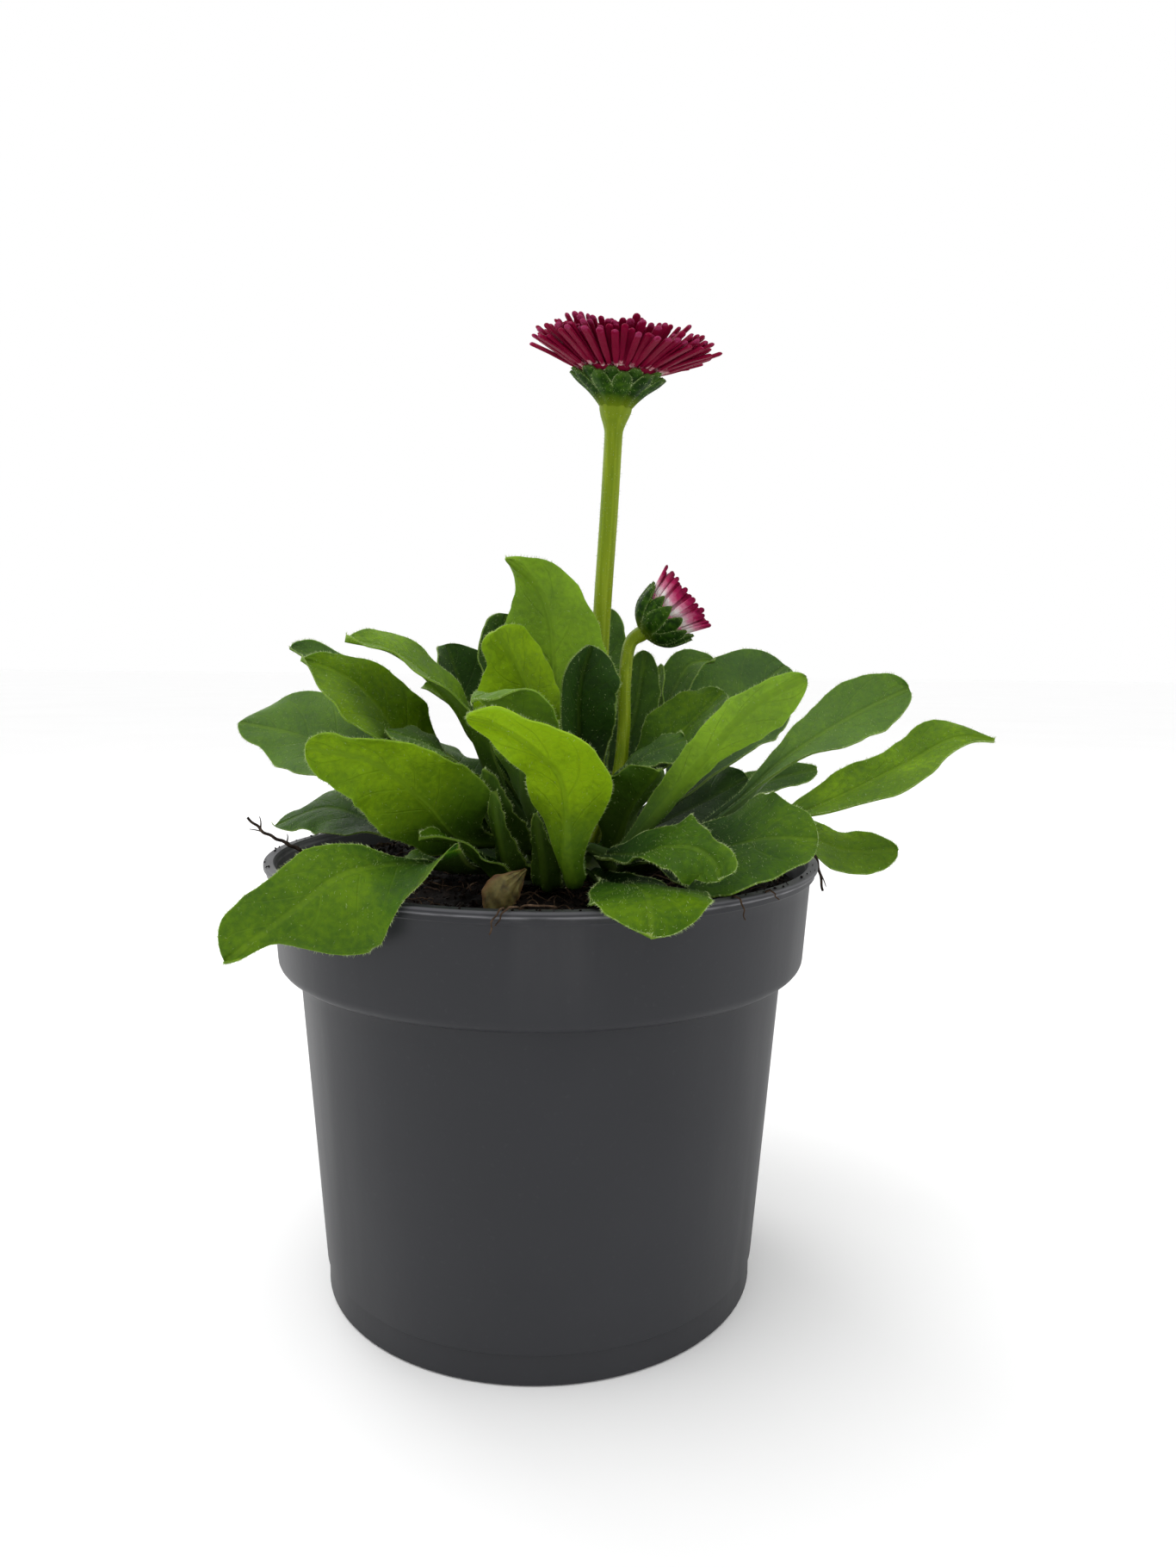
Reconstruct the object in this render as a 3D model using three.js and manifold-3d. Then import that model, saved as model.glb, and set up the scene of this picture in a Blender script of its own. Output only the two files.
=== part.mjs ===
// Potted daisy: a rosette of toothed spoon leaves with one open and one half-open bloom,
// growing from peat in a round nursery pot. Millimetres, +Z up, the pot's foot on z = 0
// and the pot's axis on the Z axis. The front of the plant faces -Y.

import * as THREE from "three";
import { mergeVertices } from "three/addons/utils/BufferGeometryUtils.js";
import Module from "manifold-3d";

const wasm = await Module();
wasm.setup();

// Fits
const CLEARANCE = 0.3;
const WELD = 1e-3;

// Repeatable scatter
const SCATTER_STEP = 12.9898;
const SCATTER_SCALE = 43758.5453;

// Pot
const POT_HEIGHT = 94;
const POT_SIDES = 32;
const LIP_RADIUS = 60;
const LIP_DEPTH = 2.6;
const LIP_TOP_WIDTH = 2;
const LIP_BEAD = { out: 0.6, foot: 1.3, round: 0.3 };
const COLLAR_TOP_RADIUS = 58.5;
const COLLAR_FOOT_RADIUS = 57.35;
const COLLAR_FOOT_Z = 71.4;
const COLLAR_ROUND = 2.4;
const LEDGE_ROUND = 0.3;
const WALL_TOP_RADIUS = 52.9;
const WALL_FOOT_RADIUS = 48.1;
const WALL_THICKNESS = 1.1;
const FOOT_HEIGHT = 6.4;
const FOOT_RADIUS = 47.6;
const FLOOR_Z = 6;
const FLOOR_THICKNESS = 1.2;
const FLOOR_FILLET = 1;
const PAD_RADIUS = 7;
const PAD_DRAFT = 0.4;
const NOTCH_ANGLES = [-127, -7, 113];
const NOTCH_WIDTH = 17.5;
const NOTCH_HEIGHT = 5.7;
const NOTCH_CORNER = 2;
const NOTCH_SLOPE = 5;
const NOTCH_REACH = { inside: 3, outside: 5 };
const DRAIN_COUNT = 6;
const DRAIN_RADIUS = 3.2;
const DRAIN_CIRCLE = 31;
const DRAIN_SIDES = 8;

// Soil and crown
const SOIL_EDGE_Z = 87.6;
const SOIL_MOUND = 1.6;
const SOIL_HEAP = { x: -30, y: 26, height: 2.4, spread: 15 };
const SOIL_RELIEF = { height: 0.5, wave: [0.9, 0.4], cross: [0.35, -0.8] };
const SOIL_RINGS = [50, 41, 32, 23];
const SOIL_GAP = 0.45;
const SOIL_SIDES = 30;
const CROWN_CENTRE = new THREE.Vector3(4, -2, 90);
const CROWN_RADIUS = 14;
const CROWN_DOME = 7;
const CROWN_DEPTH = 11;
const CROWN_SIDES = 16;
const CROWN_ARC_STEPS = 4;

// Leaves
const PETIOLE_WIDTH = 3;
const WING_WIDTH = 4.6;
const WING_FROM = 0.05;
const WING_TO = 0.3;
const PETIOLE_THICKNESS = 1.6;
const BLADE_THICKNESS = 0.75;
const PETIOLE_FOLD = 40;
const BLADE_START = 0.2;
const BLADE_WIDEST = 0.68;
const BLADE_TAPER = [2.2, 0.5];
const TIP_HALF_WIDTH = 0.9;
const TOOTH = 0.045;
const WAVE = 0.8;
const WAVES_PER_LEAF = 2;
const EDGE_THINNING = 0.6;
const LEAF_STEPS = 10;
const BROAD_LEAF = 12;
const EMERGENCE = 3;
const OUTER = 12;
const MIDDLE = 38;
const INNER = 62;
const HEART = 80;

// Leaves at the back of the rosette
const BACK_LEAVES = 6;
const BACK_FROM = 74;
const BACK_TO = 134;
const BACK_REACH = 63;
const BACK_RISE = 24;
const BACK_WIDTH = 23;
const BACK_ROLL = 45;

// Blooms
const TALL_STALK = { base: 20, foot: 2.3, waist: 1.9, top: 3.5, neck: 3 };
const TALL_TOP = new THREE.Vector3(14.8, 0, 191);
const TALL_TILT = [9, 4];
const SHORT_STALK = { base: 330, foot: 1.9, waist: 1.4, top: 1.7, neck: 2 };
const SHORT_TOP = new THREE.Vector3(22, 4, 143);
const SHORT_TILT = [8, 52];
const STALK_SIDES = 8;
const STALK_STEPS = 12;
const STALK_STRAIGHT = 3.5;
const BLOOM_SIDES = 16;
const FLORET_THICKNESS = 0.66;
const GOLDEN_ANGLE = 137.508;

// Roots over the lip
const ROOT_RADIUS = 0.55;
const ROOT_TIP_RADIUS = 0.33;
const ROOT_STEPS = 12;
const ROOT_SIDES = 5;
const LEFT_ROOT = [[-51, 3, 90], [-54, 3, 93], [-58, 3, 95.2], [-62, 2, 97.5], [-65.5, 1, 101]];
const RIGHT_ROOT = [[51, 3, 89.5], [56, 3, 94], [60, 3, 95], [62, 2, 92], [63.5, 1, 85]];

// Colours
const GREY_PLASTIC = { color: 0x3a3b3f, roughness: 0.55, metalness: 0 };
const PEAT = { color: 0x1f1712, roughness: 0.95, metalness: 0 };
const CROWN_GREEN = { color: 0x6f8a2c, roughness: 0.6, metalness: 0 };
const LEAF_GREEN = { color: 0x3f7a10, roughness: 0.5, metalness: 0 };
const STALK_GREEN = { color: 0x6c8212, roughness: 0.5, metalness: 0 };
const BRACT_GREEN = { color: 0x2f5a1c, roughness: 0.6, metalness: 0 };
const CRIMSON = { color: 0x7d0026, roughness: 0.5, metalness: 0 };
const PINK = { color: 0xa8325e, roughness: 0.5, metalness: 0 };
const DRY_TAN = { color: 0x8a7346, roughness: 0.8, metalness: 0 };
const ROOT_GREY = { color: 0x4a4038, roughness: 0.9, metalness: 0 };

// Each leaf: its root on the crown (ring latitude and base angle), the route of its midrib,
// the width of its blade, the roll about the midrib from base to tip, and for the left and
// right halves the slope at the midrib (fold) and the bend towards the edge (curl). Where
// given, edges scales the left and right widths from base to tip, and lifts raises the edges.
const LEAVES = [
  { name: "leaf_front_left_low", ring: OUTER, base: 222, width: 24,
    route: [[-15, -29, 96], [-26, -43, 99], [-35, -51.5, 98.5], [-42.5, -57, 93], [-53, -59, 85]],
    roll: [0, -55], fold: [0, 10], curl: [-50, -10], start: 0.15, widest: 0.62, taper: [1.4, 0.6],
    edges: [[1, 0.9, 0.6, 0.5, 0.6, 0.9, 1.1, 1.35, 1.2, 0.4, 0.5],
      [1, 0.5, 0.3, 0.2, 0.15, 0.2, 0.35, 0.65, 0.75, 1.1, 1.6]],
    lifts: [[0, 0, 0, 1, 6, 11, 8, 2, 0, 0, 0], [0, 0, 0, 0, 0, 0, 0, 0, 0, 0, 0]] },
  { name: "leaf_left_bright", ring: MIDDLE, base: 218, width: 20,
    route: [[-17, -24, 101], [-23, -33, 109.5], [-31, -41, 117.5], [-42, -46, 120.5]],
    roll: [50, 70], fold: [0, 0], curl: [-20, -25], start: 0.05, widest: 0.45, taper: [2.6, 0.5],
    edges: [[1, 0.6, 0.4, 0.55, 1, 1.15, 1, 0.85, 0.65, 0.55, 1],
      [1, 0.7, 0.6, 0.5, 0.6, 0.8, 1, 1, 1, 1, 1]] },
  { name: "leaf_centre_bright", ring: MIDDLE, base: 276, width: 15,
    route: [[5.2, -21, 96], [6.2, -30, 95.8], [6, -35.8, 94.2], [4.9, -38.3, 99], [4.5, -39.3, 107],
      [3, -43, 115.5], [-2, -47, 121], [-8, -50, 125], [-13, -52, 126.5]],
    roll: [0, 8], fold: [15, 0], curl: [-10, -15], start: 0.38, widest: 0.65,
    edges: [[1, 1, 1, 1, 0.85, 0.9, 1.15, 1.25, 1, 0.66, 0.8],
      [1, 1, 1, 0.9, 0.8, 0.85, 0.95, 0.85, 0.7, 0.82, 1]] },
  { name: "leaf_small_front_left", ring: OUTER, base: 238, width: 9,
    route: [[-7, -25, 91.7], [-12, -31.5, 97.5], [-18, -36, 102.5], [-23, -38, 103]],
    roll: [0, -20], fold: [10, 10], curl: [10, 10] },
  { name: "leaf_yellow_low", ring: OUTER, base: 196, width: 10,
    route: [[-19, -10, 92], [-24, -12, 94], [-31, -15, 93]],
    roll: [0, -10], fold: [5, 5], curl: [-10, -10] },
  { name: "leaf_front_right_upper", ring: OUTER, base: 306, width: 24,
    route: [[12, -30, 98.5], [18, -40, 100.5], [22, -47, 103], [27, -52, 103.5], [30, -54.5, 101.3],
      [30.5, -56, 98.7]],
    roll: [0, 50], fold: [5, 5], curl: [-10, -10],
    edges: [[1, 1, 0.7, 0.5, 0.5, 0.65, 0.8, 0.85, 0.6, 0.35, 0.8],
      [1, 0.8, 0.5, 0.35, 0.3, 0.3, 0.3, 0.35, 0.5, 0.7, 1]] },
  { name: "leaf_front_right_lobe", ring: OUTER, base: 290, width: 21,
    route: [[13, -34, 93.5], [16, -48, 96.3], [18, -58, 96.4], [18, -64, 94.3], [18, -67, 91.5]],
    roll: [0, 0], fold: [0, 0], curl: [-10, -10],
    edges: [[1, 1, 1, 1, 0.9, 0.8, 0.95, 1.15, 1.15, 1.1, 1],
      [1, 0.8, 0.5, 0.4, 0.4, 0.5, 0.65, 0.85, 0.95, 1, 1]] },
  { name: "leaf_big_right_front", ring: OUTER, base: 328, width: 29,
    route: [[20, -18, 94], [32, -29, 99], [43, -36, 103], [52, -38, 103]],
    roll: [0, 42], fold: [5, 10], curl: [-10, -10],
    edges: [[1, 1, 1, 1, 1, 1.15, 1.3, 1.25, 1, 0.8, 1],
      [1, 1, 1, 1, 1.15, 1.2, 1.2, 1.2, 1.1, 0.8, 1]] },
  { name: "leaf_long_right", ring: MIDDLE, base: 296, width: 16,
    route: [[15, -20, 97], [23, -30, 108], [30.5, -40, 119.5], [38, -46, 129], [46.5, -47, 133.7]],
    roll: [-30, -60], fold: [15, 15], curl: [10, 20],
    edges: [[1, 1, 0.8, 0.6, 0.4, 0.3, 0.4, 0.6, 0.9, 1.1, 1],
      [1, 0.8, 0.6, 0.55, 0.55, 0.55, 0.5, 0.5, 0.45, 0.4, 0.6]] },
  { name: "leaf_right_inner_low", ring: MIDDLE, base: 315, width: 17,
    route: [[14, -12, 97], [18, -18, 107], [23, -21.5, 114.5]],
    roll: [0, -15], fold: [15, 15], curl: [10, 10] },
  { name: "leaf_right_dark_fuzzy", ring: MIDDLE, base: 334, width: 17,
    route: [[15, -10, 107], [21, -10, 116], [30, -11, 120]],
    roll: [0, 25], fold: [10, 10], curl: [-20, -20] },
  { name: "leaf_right_serrated", ring: MIDDLE, base: 352, width: 17,
    route: [[20, -1, 105], [28, 1, 118], [40, 3, 130]],
    roll: [0, 30], fold: [15, 15], curl: [10, 10] },
  { name: "leaf_back_right_blue", ring: MIDDLE, base: 30, width: 28,
    route: [[32, 12, 106], [44, 23, 121], [52, 28, 130], [60, 31, 136]],
    roll: [0, 45], fold: [10, 10], curl: [10, 10] },
  { name: "leaf_far_right_up", ring: OUTER, base: 8, width: 19,
    route: [[32, -1, 97], [43, 1, 105], [53, 3, 114], [62, 5, 120], [73, 7, 126], [83, 6, 131]],
    roll: [0, 50], fold: [10, 10], curl: [10, 10], start: 0.4, widest: 0.74,
    edges: [[1, 0.8, 0.7, 0.6, 0.5, 0.5, 0.55, 0.7, 0.9, 1, 1], [1, 1, 1, 1, 1, 1, 1, 1, 1, 1, 1]] },
  { name: "leaf_far_right_long", ring: OUTER, base: 346, width: 17,
    route: [[41, -9, 95.5], [53, -10, 103], [65, -11, 109], [78, -12, 116], [87, -13, 121],
      [95, -14, 121]],
    roll: [0, 40], fold: [10, 10], curl: [5, 5], start: 0.4, widest: 0.66, taper: [1.3, 0.8],
    edges: [[1, 1, 1, 0.9, 0.9, 0.9, 0.85, 0.6, 1, 1.6, 1], [1, 1, 1, 1, 1, 1, 1, 1.3, 1.5, 1, 1]] },
  { name: "leaf_right_low_back", ring: OUTER, base: 24, width: 13.5,
    route: [[30, 10, 95], [50, 13, 96.5], [60, 14, 96.3], [72, 13, 92.5], [84, 12, 92.3]],
    roll: [0, 50], fold: [5, 5], curl: [5, 5], start: 0.55, widest: 0.75,
    edges: [[1, 1, 1, 1, 1, 1, 0.9, 0.9, 0.9, 1, 1], [1, 1, 1, 1, 1, 1, 1, 1.2, 1.3, 1.1, 1]] },
  { name: "leaf_right_back_low", ring: OUTER, base: 40, width: 20,
    route: [[26, 12, 98], [38, 18, 103], [49, 20, 109]],
    roll: [0, 40], fold: [10, 10], curl: [-20, -30], wave: 1.8 },
  { name: "leaf_right_back_far", ring: OUTER, base: 56, width: 10,
    route: [[36, 22, 99], [56, 30, 107], [69, 32, 110]],
    roll: [0, 40], fold: [10, 10], curl: [5, 5] },
  { name: "leaf_spoon_right", ring: MIDDLE, base: 54, width: 9,
    route: [[24, 16, 116], [31, 21, 130], [35, 23, 136], [41, 24, 137]],
    roll: [0, 30], fold: [10, 10], curl: [10, 10], start: 0.5, widest: 0.84 },
  { name: "leaf_upright_right", ring: MIDDLE, base: 10, width: 10,
    route: [[17, 6, 110], [21, 10, 126], [23, 11, 139]],
    roll: [40, 40], fold: [15, 15], curl: [10, 10] },
  { name: "leaf_upright_pale", ring: INNER, base: 70, width: 8,
    route: [[20, 10, 110], [25, 14, 124], [27, 16, 136]],
    roll: [20, 20], fold: [15, 15], curl: [10, 10] },
  { name: "leaf_behind_stalk", ring: HEART, base: 40, width: 16,
    route: [[8, 12, 114], [12, 19, 132], [15, 23, 149]],
    roll: [0, 0], fold: [15, 15], curl: [10, 10] },
  { name: "leaf_tall", ring: HEART, base: 260, width: 25,
    route: [[3, -5, 112], [2, -7, 130], [1, -9, 144], [-2, -11, 152], [-8, -14, 157]],
    roll: [0, 0], fold: [15, 15], curl: [10, 15], widest: 0.55, taper: [1.4, 0.8], face: 262,
    edges: [[1, 1, 1, 1, 1, 1, 1, 1, 1, 1, 1], [1, 1, 1, 1, 1, 1, 1.1, 1.15, 1.15, 1, 1]] },
  { name: "leaf_dark_centre", ring: INNER, base: 285, width: 20,
    route: [[7, -16, 107], [7, -20, 121], [7, -23, 131], [9, -24, 139.3]],
    roll: [0, 0], fold: [65, 5], curl: [10, 15], face: 90,
    edges: [[1, 1, 1, 1, 1, 1, 1, 1, 1.1, 1.4, 1.2], [1, 1, 1, 0.9, 0.8, 0.7, 0.7, 0.75, 0.8, 1, 1]] },
  { name: "leaf_yellow_upright", ring: INNER, base: 245, width: 21,
    route: [[-0.7, -10, 112], [-2.5, -12.8, 125], [-6, -16, 135], [-10, -19, 142]],
    roll: [0, 0], fold: [15, 15], curl: [10, 10], face: 295,
    edges: [[1, 1, 1, 0.8, 0.8, 0.8, 0.8, 0.8, 0.8, 0.9, 1],
      [1, 1, 0.9, 0.7, 0.6, 0.75, 1.1, 1.15, 0.9, 0.6, 0.8]] },
  { name: "leaf_fuzzy_arch", ring: MIDDLE, base: 258, width: 14,
    route: [[-3, -20, 108], [-4, -28, 119], [-5, -36, 127], [-9, -40, 130], [-13, -42, 129]],
    roll: [0, 10], fold: [10, 10], curl: [-10, -10] },
  { name: "leaf_arched_left", ring: INNER, base: 209, width: 14,
    route: [[-9, -8, 108], [-15, -12, 122], [-22, -15, 131], [-31, -17, 138], [-40, -18, 140]],
    roll: [0, -25], fold: [10, 10], curl: [10, 10],
    edges: [[1, 1, 1, 1, 1, 1, 1, 1, 1, 1, 1], [1, 1, 1, 1, 1, 1, 1, 1.1, 1.3, 1.4, 1]] },
  { name: "leaf_left_pointed", ring: MIDDLE, base: 181, width: 23,
    route: [[-17, -6, 104], [-29, -9, 118], [-37, -11, 129], [-42, -12, 133], [-50, -13, 136]],
    roll: [-10, -45], fold: [10, 10], curl: [10, 10], widest: 0.6, taper: [1.3, 0.7],
    edges: [[1, 1, 1, 1, 1, 1.1, 1.3, 1.6, 1.9, 1.9, 1], [1, 1, 1, 1, 1, 1, 1, 1, 1, 1, 1]] },
  { name: "leaf_left_round_tip", ring: MIDDLE, base: 162, width: 11.9,
    route: [[-22, 8, 110], [-40, 12, 123], [-49, 15, 134], [-59, 16, 139]],
    roll: [0, -15], fold: [10, 10], curl: [10, 10], start: 0.4, widest: 0.8 },
  { name: "leaf_left_blue", ring: OUTER, base: 168, width: 24,
    route: [[-26, 6, 101], [-43, 14, 112], [-58, 20, 118], [-73, 22, 121]],
    roll: [0, -45], fold: [10, 10], curl: [-15, -15], taper: [1.8, 0.6],
    edges: [[1, 1, 1, 1, 1, 1, 1, 1, 1, 0.8, 1], [1, 1, 1, 1, 1, 1, 1.1, 1.3, 1.5, 1.4, 1]] },
  { name: "leaf_left_low_back", ring: OUTER, base: 150, width: 18,
    route: [[-26, 10, 94], [-42, 20, 98], [-54, 27, 100], [-67, 30, 95]],
    roll: [0, -40], fold: [5, 5], curl: [-15, -15], taper: [1.6, 0.6] },
  { name: "leaf_top_left_dark", ring: INNER, base: 130, width: 23,
    route: [[-10, 5, 111], [-18, 12, 127], [-23, 15, 140]],
    roll: [0, -10], fold: [15, 15], curl: [10, 10] },
  { name: "leaf_behind_tall", ring: HEART, base: 150, width: 21,
    route: [[-4, 4, 115], [-8, 9, 128], [-10, 11, 138], [-9, 12, 147]],
    roll: [0, -10], fold: [15, 15], curl: [10, 10], face: 140 },
  { name: "leaf_left_inner_arc", ring: MIDDLE, base: 200, width: 20,
    route: [[-13, -13, 107], [-22.5, -19.5, 118.5], [-31.5, -21.5, 122]],
    roll: [0, -20], fold: [10, 10], curl: [-10, -10] },
  { name: "leaf_left_inner_tip", ring: INNER, base: 172, width: 10,
    route: [[-11, -2, 113], [-18, -2.5, 125], [-26, -3, 131]],
    roll: [0, -20], fold: [10, 10], curl: [10, 10] },
  { name: "leaf_front_inner_left", ring: MIDDLE, base: 239, width: 9,
    route: [[-6, -20, 99], [-9.6, -26, 107], [-11.6, -28, 115]],
    roll: [0, 10], fold: [15, 15], curl: [10, 10], widest: 0.55, taper: [1.6, 0.8] },
  { name: "leaf_front_inner_mid", ring: OUTER, base: 253, width: 6,
    route: [[-2.3, -21, 94], [-6.6, -27.5, 96], [-8.2, -30, 102], [-9.6, -31, 111]],
    roll: [0, 0], fold: [15, 15], curl: [10, 10], widest: 0.55, taper: [1.6, 0.8] },
  { name: "leaf_front_strip", ring: OUTER, base: 268, width: 6,
    route: [[2.3, -20, 91.6], [0.8, -27, 91.8], [0, -30, 98], [-1.4, -32, 107]],
    roll: [0, 0], fold: [15, 15], curl: [10, 10], widest: 0.55, taper: [1.6, 0.8] },
];

function radians(degrees) {
  return THREE.MathUtils.degToRad(degrees);
}

function ease(from, to, value) {
  return THREE.MathUtils.smoothstep(value, from, to);
}

// A repeatable scatter between -1 and 1 for a whole number.
function scatter(number) {
  const wild = Math.sin(number * SCATTER_STEP) * SCATTER_SCALE;
  return 2 * (wild - Math.floor(wild)) - 1;
}

function mesh(name, geometry, finish) {
  const made = new THREE.Mesh(geometry, new THREE.MeshStandardMaterial(finish));
  made.name = name;
  return made;
}

function solidOf(geometry) {
  const bare = geometry.clone();
  bare.deleteAttribute("normal");
  bare.deleteAttribute("uv");
  const merged = mergeVertices(bare, WELD);
  return new wasm.Manifold(new wasm.Mesh({
    numProp: 3,
    vertProperties: Float32Array.from(merged.attributes.position.array),
    triVerts: Uint32Array.from(merged.index.array),
  }));
}

function geometryOf(solid) {
  const { vertProperties, triVerts } = solid.getMesh();
  const geometry = new THREE.BufferGeometry();
  geometry.setAttribute("position", new THREE.BufferAttribute(vertProperties, 3));
  geometry.setIndex(new THREE.BufferAttribute(triVerts, 1));
  return geometry;
}

// A closed skin over rings of points from one end to the other, with flat ends.
function loft(rings) {
  const sides = rings[0].length;
  const positions = rings.flat().flatMap((point) => point.toArray());
  const faces = [];
  for (let i = 0; i < rings.length - 1; i += 1) {
    for (let j = 0; j < sides; j += 1) {
      const a = i * sides + j;
      const b = i * sides + (j + 1) % sides;
      faces.push(a, b, b + sides, a, b + sides, a + sides);
    }
  }
  const last = (rings.length - 1) * sides;
  for (let j = 1; j < sides - 1; j += 1) {
    faces.push(0, j + 1, j, last, last + j, last + j + 1);
  }
  const geometry = new THREE.BufferGeometry();
  geometry.setAttribute("position", new THREE.Float32BufferAttribute(positions, 3));
  geometry.setIndex(faces);
  return geometry;
}

// A closed sheet between two grids of points, rows along the sheet and columns across it.
// Both faces are split along the same diagonals, mirrored about the middle column.
function slab(upper, lower) {
  const rows = upper.length;
  const columns = upper[0].length;
  const positions = upper.flatMap((row, i) => [...row, ...lower[i]]).flatMap((point) => point.toArray());
  const top = (i, j) => i * 2 * columns + j;
  const under = (i, j) => i * 2 * columns + columns + j;
  const faces = [];
  const quad = (a, b, c, d) => faces.push(a, b, c, a, c, d);
  for (let i = 0; i < rows - 1; i += 1) {
    for (let j = 0; j < columns - 1; j += 1) {
      if (j < (columns - 1) / 2) {
        quad(top(i, j), top(i + 1, j), top(i + 1, j + 1), top(i, j + 1));
        quad(under(i, j), under(i, j + 1), under(i + 1, j + 1), under(i + 1, j));
      } else {
        quad(top(i + 1, j), top(i + 1, j + 1), top(i, j + 1), top(i, j));
        quad(under(i, j + 1), under(i + 1, j + 1), under(i + 1, j), under(i, j));
      }
    }
    const last = columns - 1;
    quad(top(i, 0), under(i, 0), under(i + 1, 0), top(i + 1, 0));
    quad(top(i, last), top(i + 1, last), under(i + 1, last), under(i, last));
  }
  for (let j = 0; j < columns - 1; j += 1) {
    quad(top(0, j), top(0, j + 1), under(0, j + 1), under(0, j));
    quad(top(rows - 1, j), under(rows - 1, j), under(rows - 1, j + 1), top(rows - 1, j + 1));
  }
  const geometry = new THREE.BufferGeometry();
  geometry.setAttribute("position", new THREE.Float32BufferAttribute(positions, 3));
  geometry.setIndex(faces);
  return geometry;
}

function vectors(points) {
  return points.map((point) => new THREE.Vector3(...point));
}

// A tapering round stem along a curve; radiusAt gives its radius at s from 0 to 1.
function stem(curve, radiusAt, steps, sides) {
  const frames = curve.computeFrenetFrames(steps, false);
  const rings = [];
  for (let i = 0; i <= steps; i += 1) {
    const centre = curve.getPointAt(i / steps);
    const radius = radiusAt(i / steps);
    const ring = [];
    for (let j = 0; j < sides; j += 1) {
      const turn = 2 * Math.PI * j / sides;
      ring.push(centre.clone()
        .addScaledVector(frames.normals[i], radius * Math.cos(turn))
        .addScaledVector(frames.binormals[i], radius * Math.sin(turn)));
    }
    rings.push(ring);
  }
  return loft(rings);
}

// Pot: one moulding with a rolled lip, a deep collar, a tapered wall and a notched foot.
function potWall() {
  const lipFoot = POT_HEIGHT - LIP_DEPTH;
  const floorTop = FLOOR_Z + FLOOR_THICKNESS;
  const footInside = FOOT_RADIUS - WALL_THICKNESS;
  const wallInside = WALL_FOOT_RADIUS - WALL_THICKNESS;
  const outline = [
    [0, 0],
    [PAD_RADIUS, 0],
    [PAD_RADIUS + PAD_DRAFT, FLOOR_Z],
    [footInside - LEDGE_ROUND, FLOOR_Z],
    [footInside, 0],
    [FOOT_RADIUS, 0],
    [FOOT_RADIUS, FOOT_HEIGHT],
    [WALL_FOOT_RADIUS, FOOT_HEIGHT],
    [WALL_TOP_RADIUS, COLLAR_FOOT_Z - LEDGE_ROUND],
    [WALL_TOP_RADIUS + LEDGE_ROUND, COLLAR_FOOT_Z],
    [COLLAR_FOOT_RADIUS - COLLAR_ROUND, COLLAR_FOOT_Z],
    [COLLAR_FOOT_RADIUS - LEDGE_ROUND * COLLAR_ROUND, COLLAR_FOOT_Z + LEDGE_ROUND * COLLAR_ROUND],
    [COLLAR_FOOT_RADIUS, COLLAR_FOOT_Z + COLLAR_ROUND],
    [COLLAR_TOP_RADIUS, lipFoot],
    [LIP_RADIUS - LIP_BEAD.out, lipFoot + LIP_BEAD.round],
    [LIP_RADIUS - LIP_BEAD.out, POT_HEIGHT - LIP_BEAD.foot],
    [LIP_RADIUS, POT_HEIGHT - LIP_BEAD.foot + LIP_BEAD.round],
    [LIP_RADIUS, POT_HEIGHT - LIP_BEAD.round],
    [LIP_RADIUS - LIP_BEAD.round, POT_HEIGHT],
    [LIP_RADIUS - LIP_TOP_WIDTH, POT_HEIGHT],
    [COLLAR_TOP_RADIUS - WALL_THICKNESS, POT_HEIGHT - 1],
    [COLLAR_FOOT_RADIUS - WALL_THICKNESS, COLLAR_FOOT_Z + 2 * WALL_THICKNESS],
    [WALL_TOP_RADIUS - WALL_THICKNESS, COLLAR_FOOT_Z],
    [wallInside, floorTop + FLOOR_FILLET],
    [wallInside - FLOOR_FILLET, floorTop],
    [0, floorTop],
  ].map(([radius, z]) => new THREE.Vector2(radius, z));
  return new THREE.LatheGeometry(outline, POT_SIDES).rotateX(Math.PI / 2);
}

// A notch in the foot: a steep side with a round corner, a level top and a sloping side.
function notchCutter(angle) {
  const half = NOTCH_WIDTH / 2;
  const below = -1;
  const shape = new THREE.Shape();
  shape.moveTo(-half, below);
  shape.lineTo(half, below);
  shape.bezierCurveTo(
    half - NOTCH_SLOPE / 4, NOTCH_HEIGHT / 3,
    half - NOTCH_SLOPE * 3 / 4, NOTCH_HEIGHT,
    half - NOTCH_SLOPE, NOTCH_HEIGHT,
  );
  shape.lineTo(-half + NOTCH_CORNER, NOTCH_HEIGHT);
  shape.quadraticCurveTo(-half, NOTCH_HEIGHT, -half, NOTCH_HEIGHT - NOTCH_CORNER);
  const cutter = new THREE.ExtrudeGeometry(shape, {
    depth: NOTCH_REACH.inside + NOTCH_REACH.outside,
    bevelEnabled: false,
    curveSegments: 4,
  });
  cutter.rotateX(Math.PI / 2);
  cutter.translate(0, -(FOOT_RADIUS - NOTCH_REACH.outside), 0);
  return cutter.rotateZ(radians(angle + 90));
}

function pot() {
  let solid = solidOf(potWall());
  for (const angle of NOTCH_ANGLES) {
    solid = solid.subtract(solidOf(notchCutter(angle)));
  }
  for (let i = 0; i < DRAIN_COUNT; i += 1) {
    const drain = new THREE.CylinderGeometry(DRAIN_RADIUS, DRAIN_RADIUS, 4 * FLOOR_THICKNESS, DRAIN_SIDES);
    drain.rotateX(Math.PI / 2);
    drain.translate(DRAIN_CIRCLE, 0, FLOOR_Z + FLOOR_THICKNESS / 2);
    drain.rotateZ(2 * Math.PI * (i + 0.5) / DRAIN_COUNT);
    solid = solid.subtract(solidOf(drain));
  }
  return mesh("pot", geometryOf(solid), GREY_PLASTIC);
}

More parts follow.
